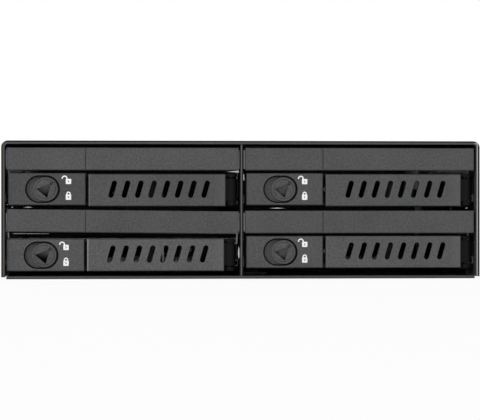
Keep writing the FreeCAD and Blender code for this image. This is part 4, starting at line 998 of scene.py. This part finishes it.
def wing(depth, reach):
    """One blade, standing up from the hub. It leans less, bows more and sweeps forward towards its tip."""
    middle = (reach + HUB_RADIUS) / 2
    vane = begin("wing", "cube", size=1.0)
    choose(vane, "FACE")
    bpy.ops.transform.resize(value=(WING_THICK, depth * WING_SHARE, reach - HUB_RADIUS + WING_ROOT))
    bpy.ops.transform.translate(value=(0, depth / 2, middle - WING_SUNK))
    choose(vane, "EDGE", lambda spot: abs(spot.z - middle) < 0.002 and abs(spot.x) > 0.0001)
    bpy.ops.mesh.subdivide(number_cuts=7)
    choose(vane, "EDGE", lambda spot: abs(spot.y - depth / 2) < 0.001 and abs(spot.x) > 0.0001)
    bpy.ops.mesh.subdivide(number_cuts=3)
    lay_down()
    for point in vane.data.vertices:
        out = (point.co.z - HUB_RADIUS) / (reach - HUB_RADIUS)
        lean = math.radians(LEAN_AT_HUB - LEAN_LOST * out)
        side, along = point.co.x, point.co.y - depth / 2
        bow = BOW * (1 - (along / (depth * BOW_SHARE)) ** 2)
        bowed = (along * math.sin(lean) + bow) * (0.75 + 0.35 * out)
        point.co.x = side * math.cos(lean) + bowed + SWEEP * out
        point.co.y = depth / 2 + along * math.cos(lean) - side * math.sin(lean)
    return vane


def fan_wheel(node):
    """A cup with its blades, in the place of a packed rotor and of its size."""
    low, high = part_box(node)
    centre = Vector(((low.x + high.x) / 2, low.y, (low.z + high.z) / 2))
    reach, depth = (high.z - low.z) / 2, high.y - low.y
    cup, vane = hub(depth), wing(depth, reach)
    turns = [Matrix.Rotation(2 * math.pi * index / BLADES, 4, "Y") for index in range(BLADES)]
    vanes = [copy_to(vane, "wing_copy", Vector((0, 0, 0)), turn) for turn in turns]
    put_away(vane)
    made = join(*vanes, cup)
    made.data.transform(Matrix.Translation(centre))
    made.name = node.replace("rotor", "wheel")
    settle(made, black_nylon, node, 35)
    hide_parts(node)


for node in ("fan_rotor_left", "fan_rotor_right"):
    fan_wheel(node)


# Floor and backdrop: a plain pale floor in a white room. Both are seen as white by the eye and in gloss and
# clear parts, and the floor keeps the object's own shadow.
bpy.ops.object.select_all(action="DESELECT")
bpy.ops.mesh.primitive_plane_add(size=12.0, location=(0, 0, 0))
floor = bpy.context.object
floor.name = "floor"
ground = Finish("white floor", (0.8, 0.8, 0.8), 0.9)


def seen_white(graph):
    """1 for what the eye, gloss and clear parts see, 0 for the light that lands on things."""
    kinds = ("Camera", "Glossy", "Transmission")
    eye, gloss, clear = (graph.node("ShaderNodeLightPath", output="Is %s Ray" % kind) for kind in kinds)
    return (eye + gloss + clear).rise(0.0, 1.0)


glow = ground.node("ShaderNodeEmission", {}, {"Color": (1.0, 1.0, 1.0, 1.0), "Strength": 1.0})
plain = Wire(ground, ground.shader.outputs["BSDF"])
blend = ground.node("ShaderNodeMixShader", {}, {0: seen_white(ground) * 0.9, 1: plain, 2: glow})
ground.fill(ground.tree.nodes["Material Output"].inputs["Surface"], blend)
floor.data.materials.append(ground.material)
floor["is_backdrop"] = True

world = bpy.data.worlds.new("studio")
bpy.context.scene.world = world
world.use_nodes = True
room = Graph(world.node_tree)
backdrop = world.node_tree.nodes["Background"]
backdrop.inputs["Color"].default_value = (1.0, 1.0, 1.0, 1.0)
room.fill(backdrop.inputs["Strength"], seen_white(room) * 0.55 + 0.45)


# Studio lamps: two square soft boxes in front of the object and above it, on stands to its left and right.
# The left one is the stronger.
def soft_box(name, place, size, power):
    """A square lamp that faces the object's middle."""
    lamp = bpy.data.lights.new(name, "AREA")
    lamp.shape = "SQUARE"
    lamp.size = size
    lamp.energy = power
    stand = bpy.data.objects.new(name, lamp)
    bpy.context.scene.collection.objects.link(stand)
    stand.location = place
    stand.rotation_euler = (LIT_SPOT - Vector(place)).to_track_quat("-Z", "Y").to_euler()


LIT_SPOT = Vector((0, 0, 0.02))
soft_box("left soft box", (-0.75, -0.75, 0.55), 0.5, 6.5)
soft_box("right soft box", (0.8, -0.7, 0.5), 0.7, 4.5)


# Camera: a long lens on a stand 0.6 m in front of the object, a little left of its middle and level with
# it, so that the front is seen almost square on.
camera = bpy.data.objects.new("camera", bpy.data.cameras.new("camera"))
bpy.context.scene.collection.objects.link(camera)
bpy.context.scene.camera = camera
camera.location = (-0.037, -0.6725, 0.023)
aim = Vector((-0.00065, -0.0725, 0.02094))
camera.rotation_euler = (aim - camera.location).to_track_quat("-Z", "Y").to_euler()
camera.data.sensor_width = 36.0
camera.data.lens = 148.0
camera.data.clip_start = 0.01
camera.data.clip_end = 20.0
bpy.context.scene.view_settings.view_transform = "Standard"

low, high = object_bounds()
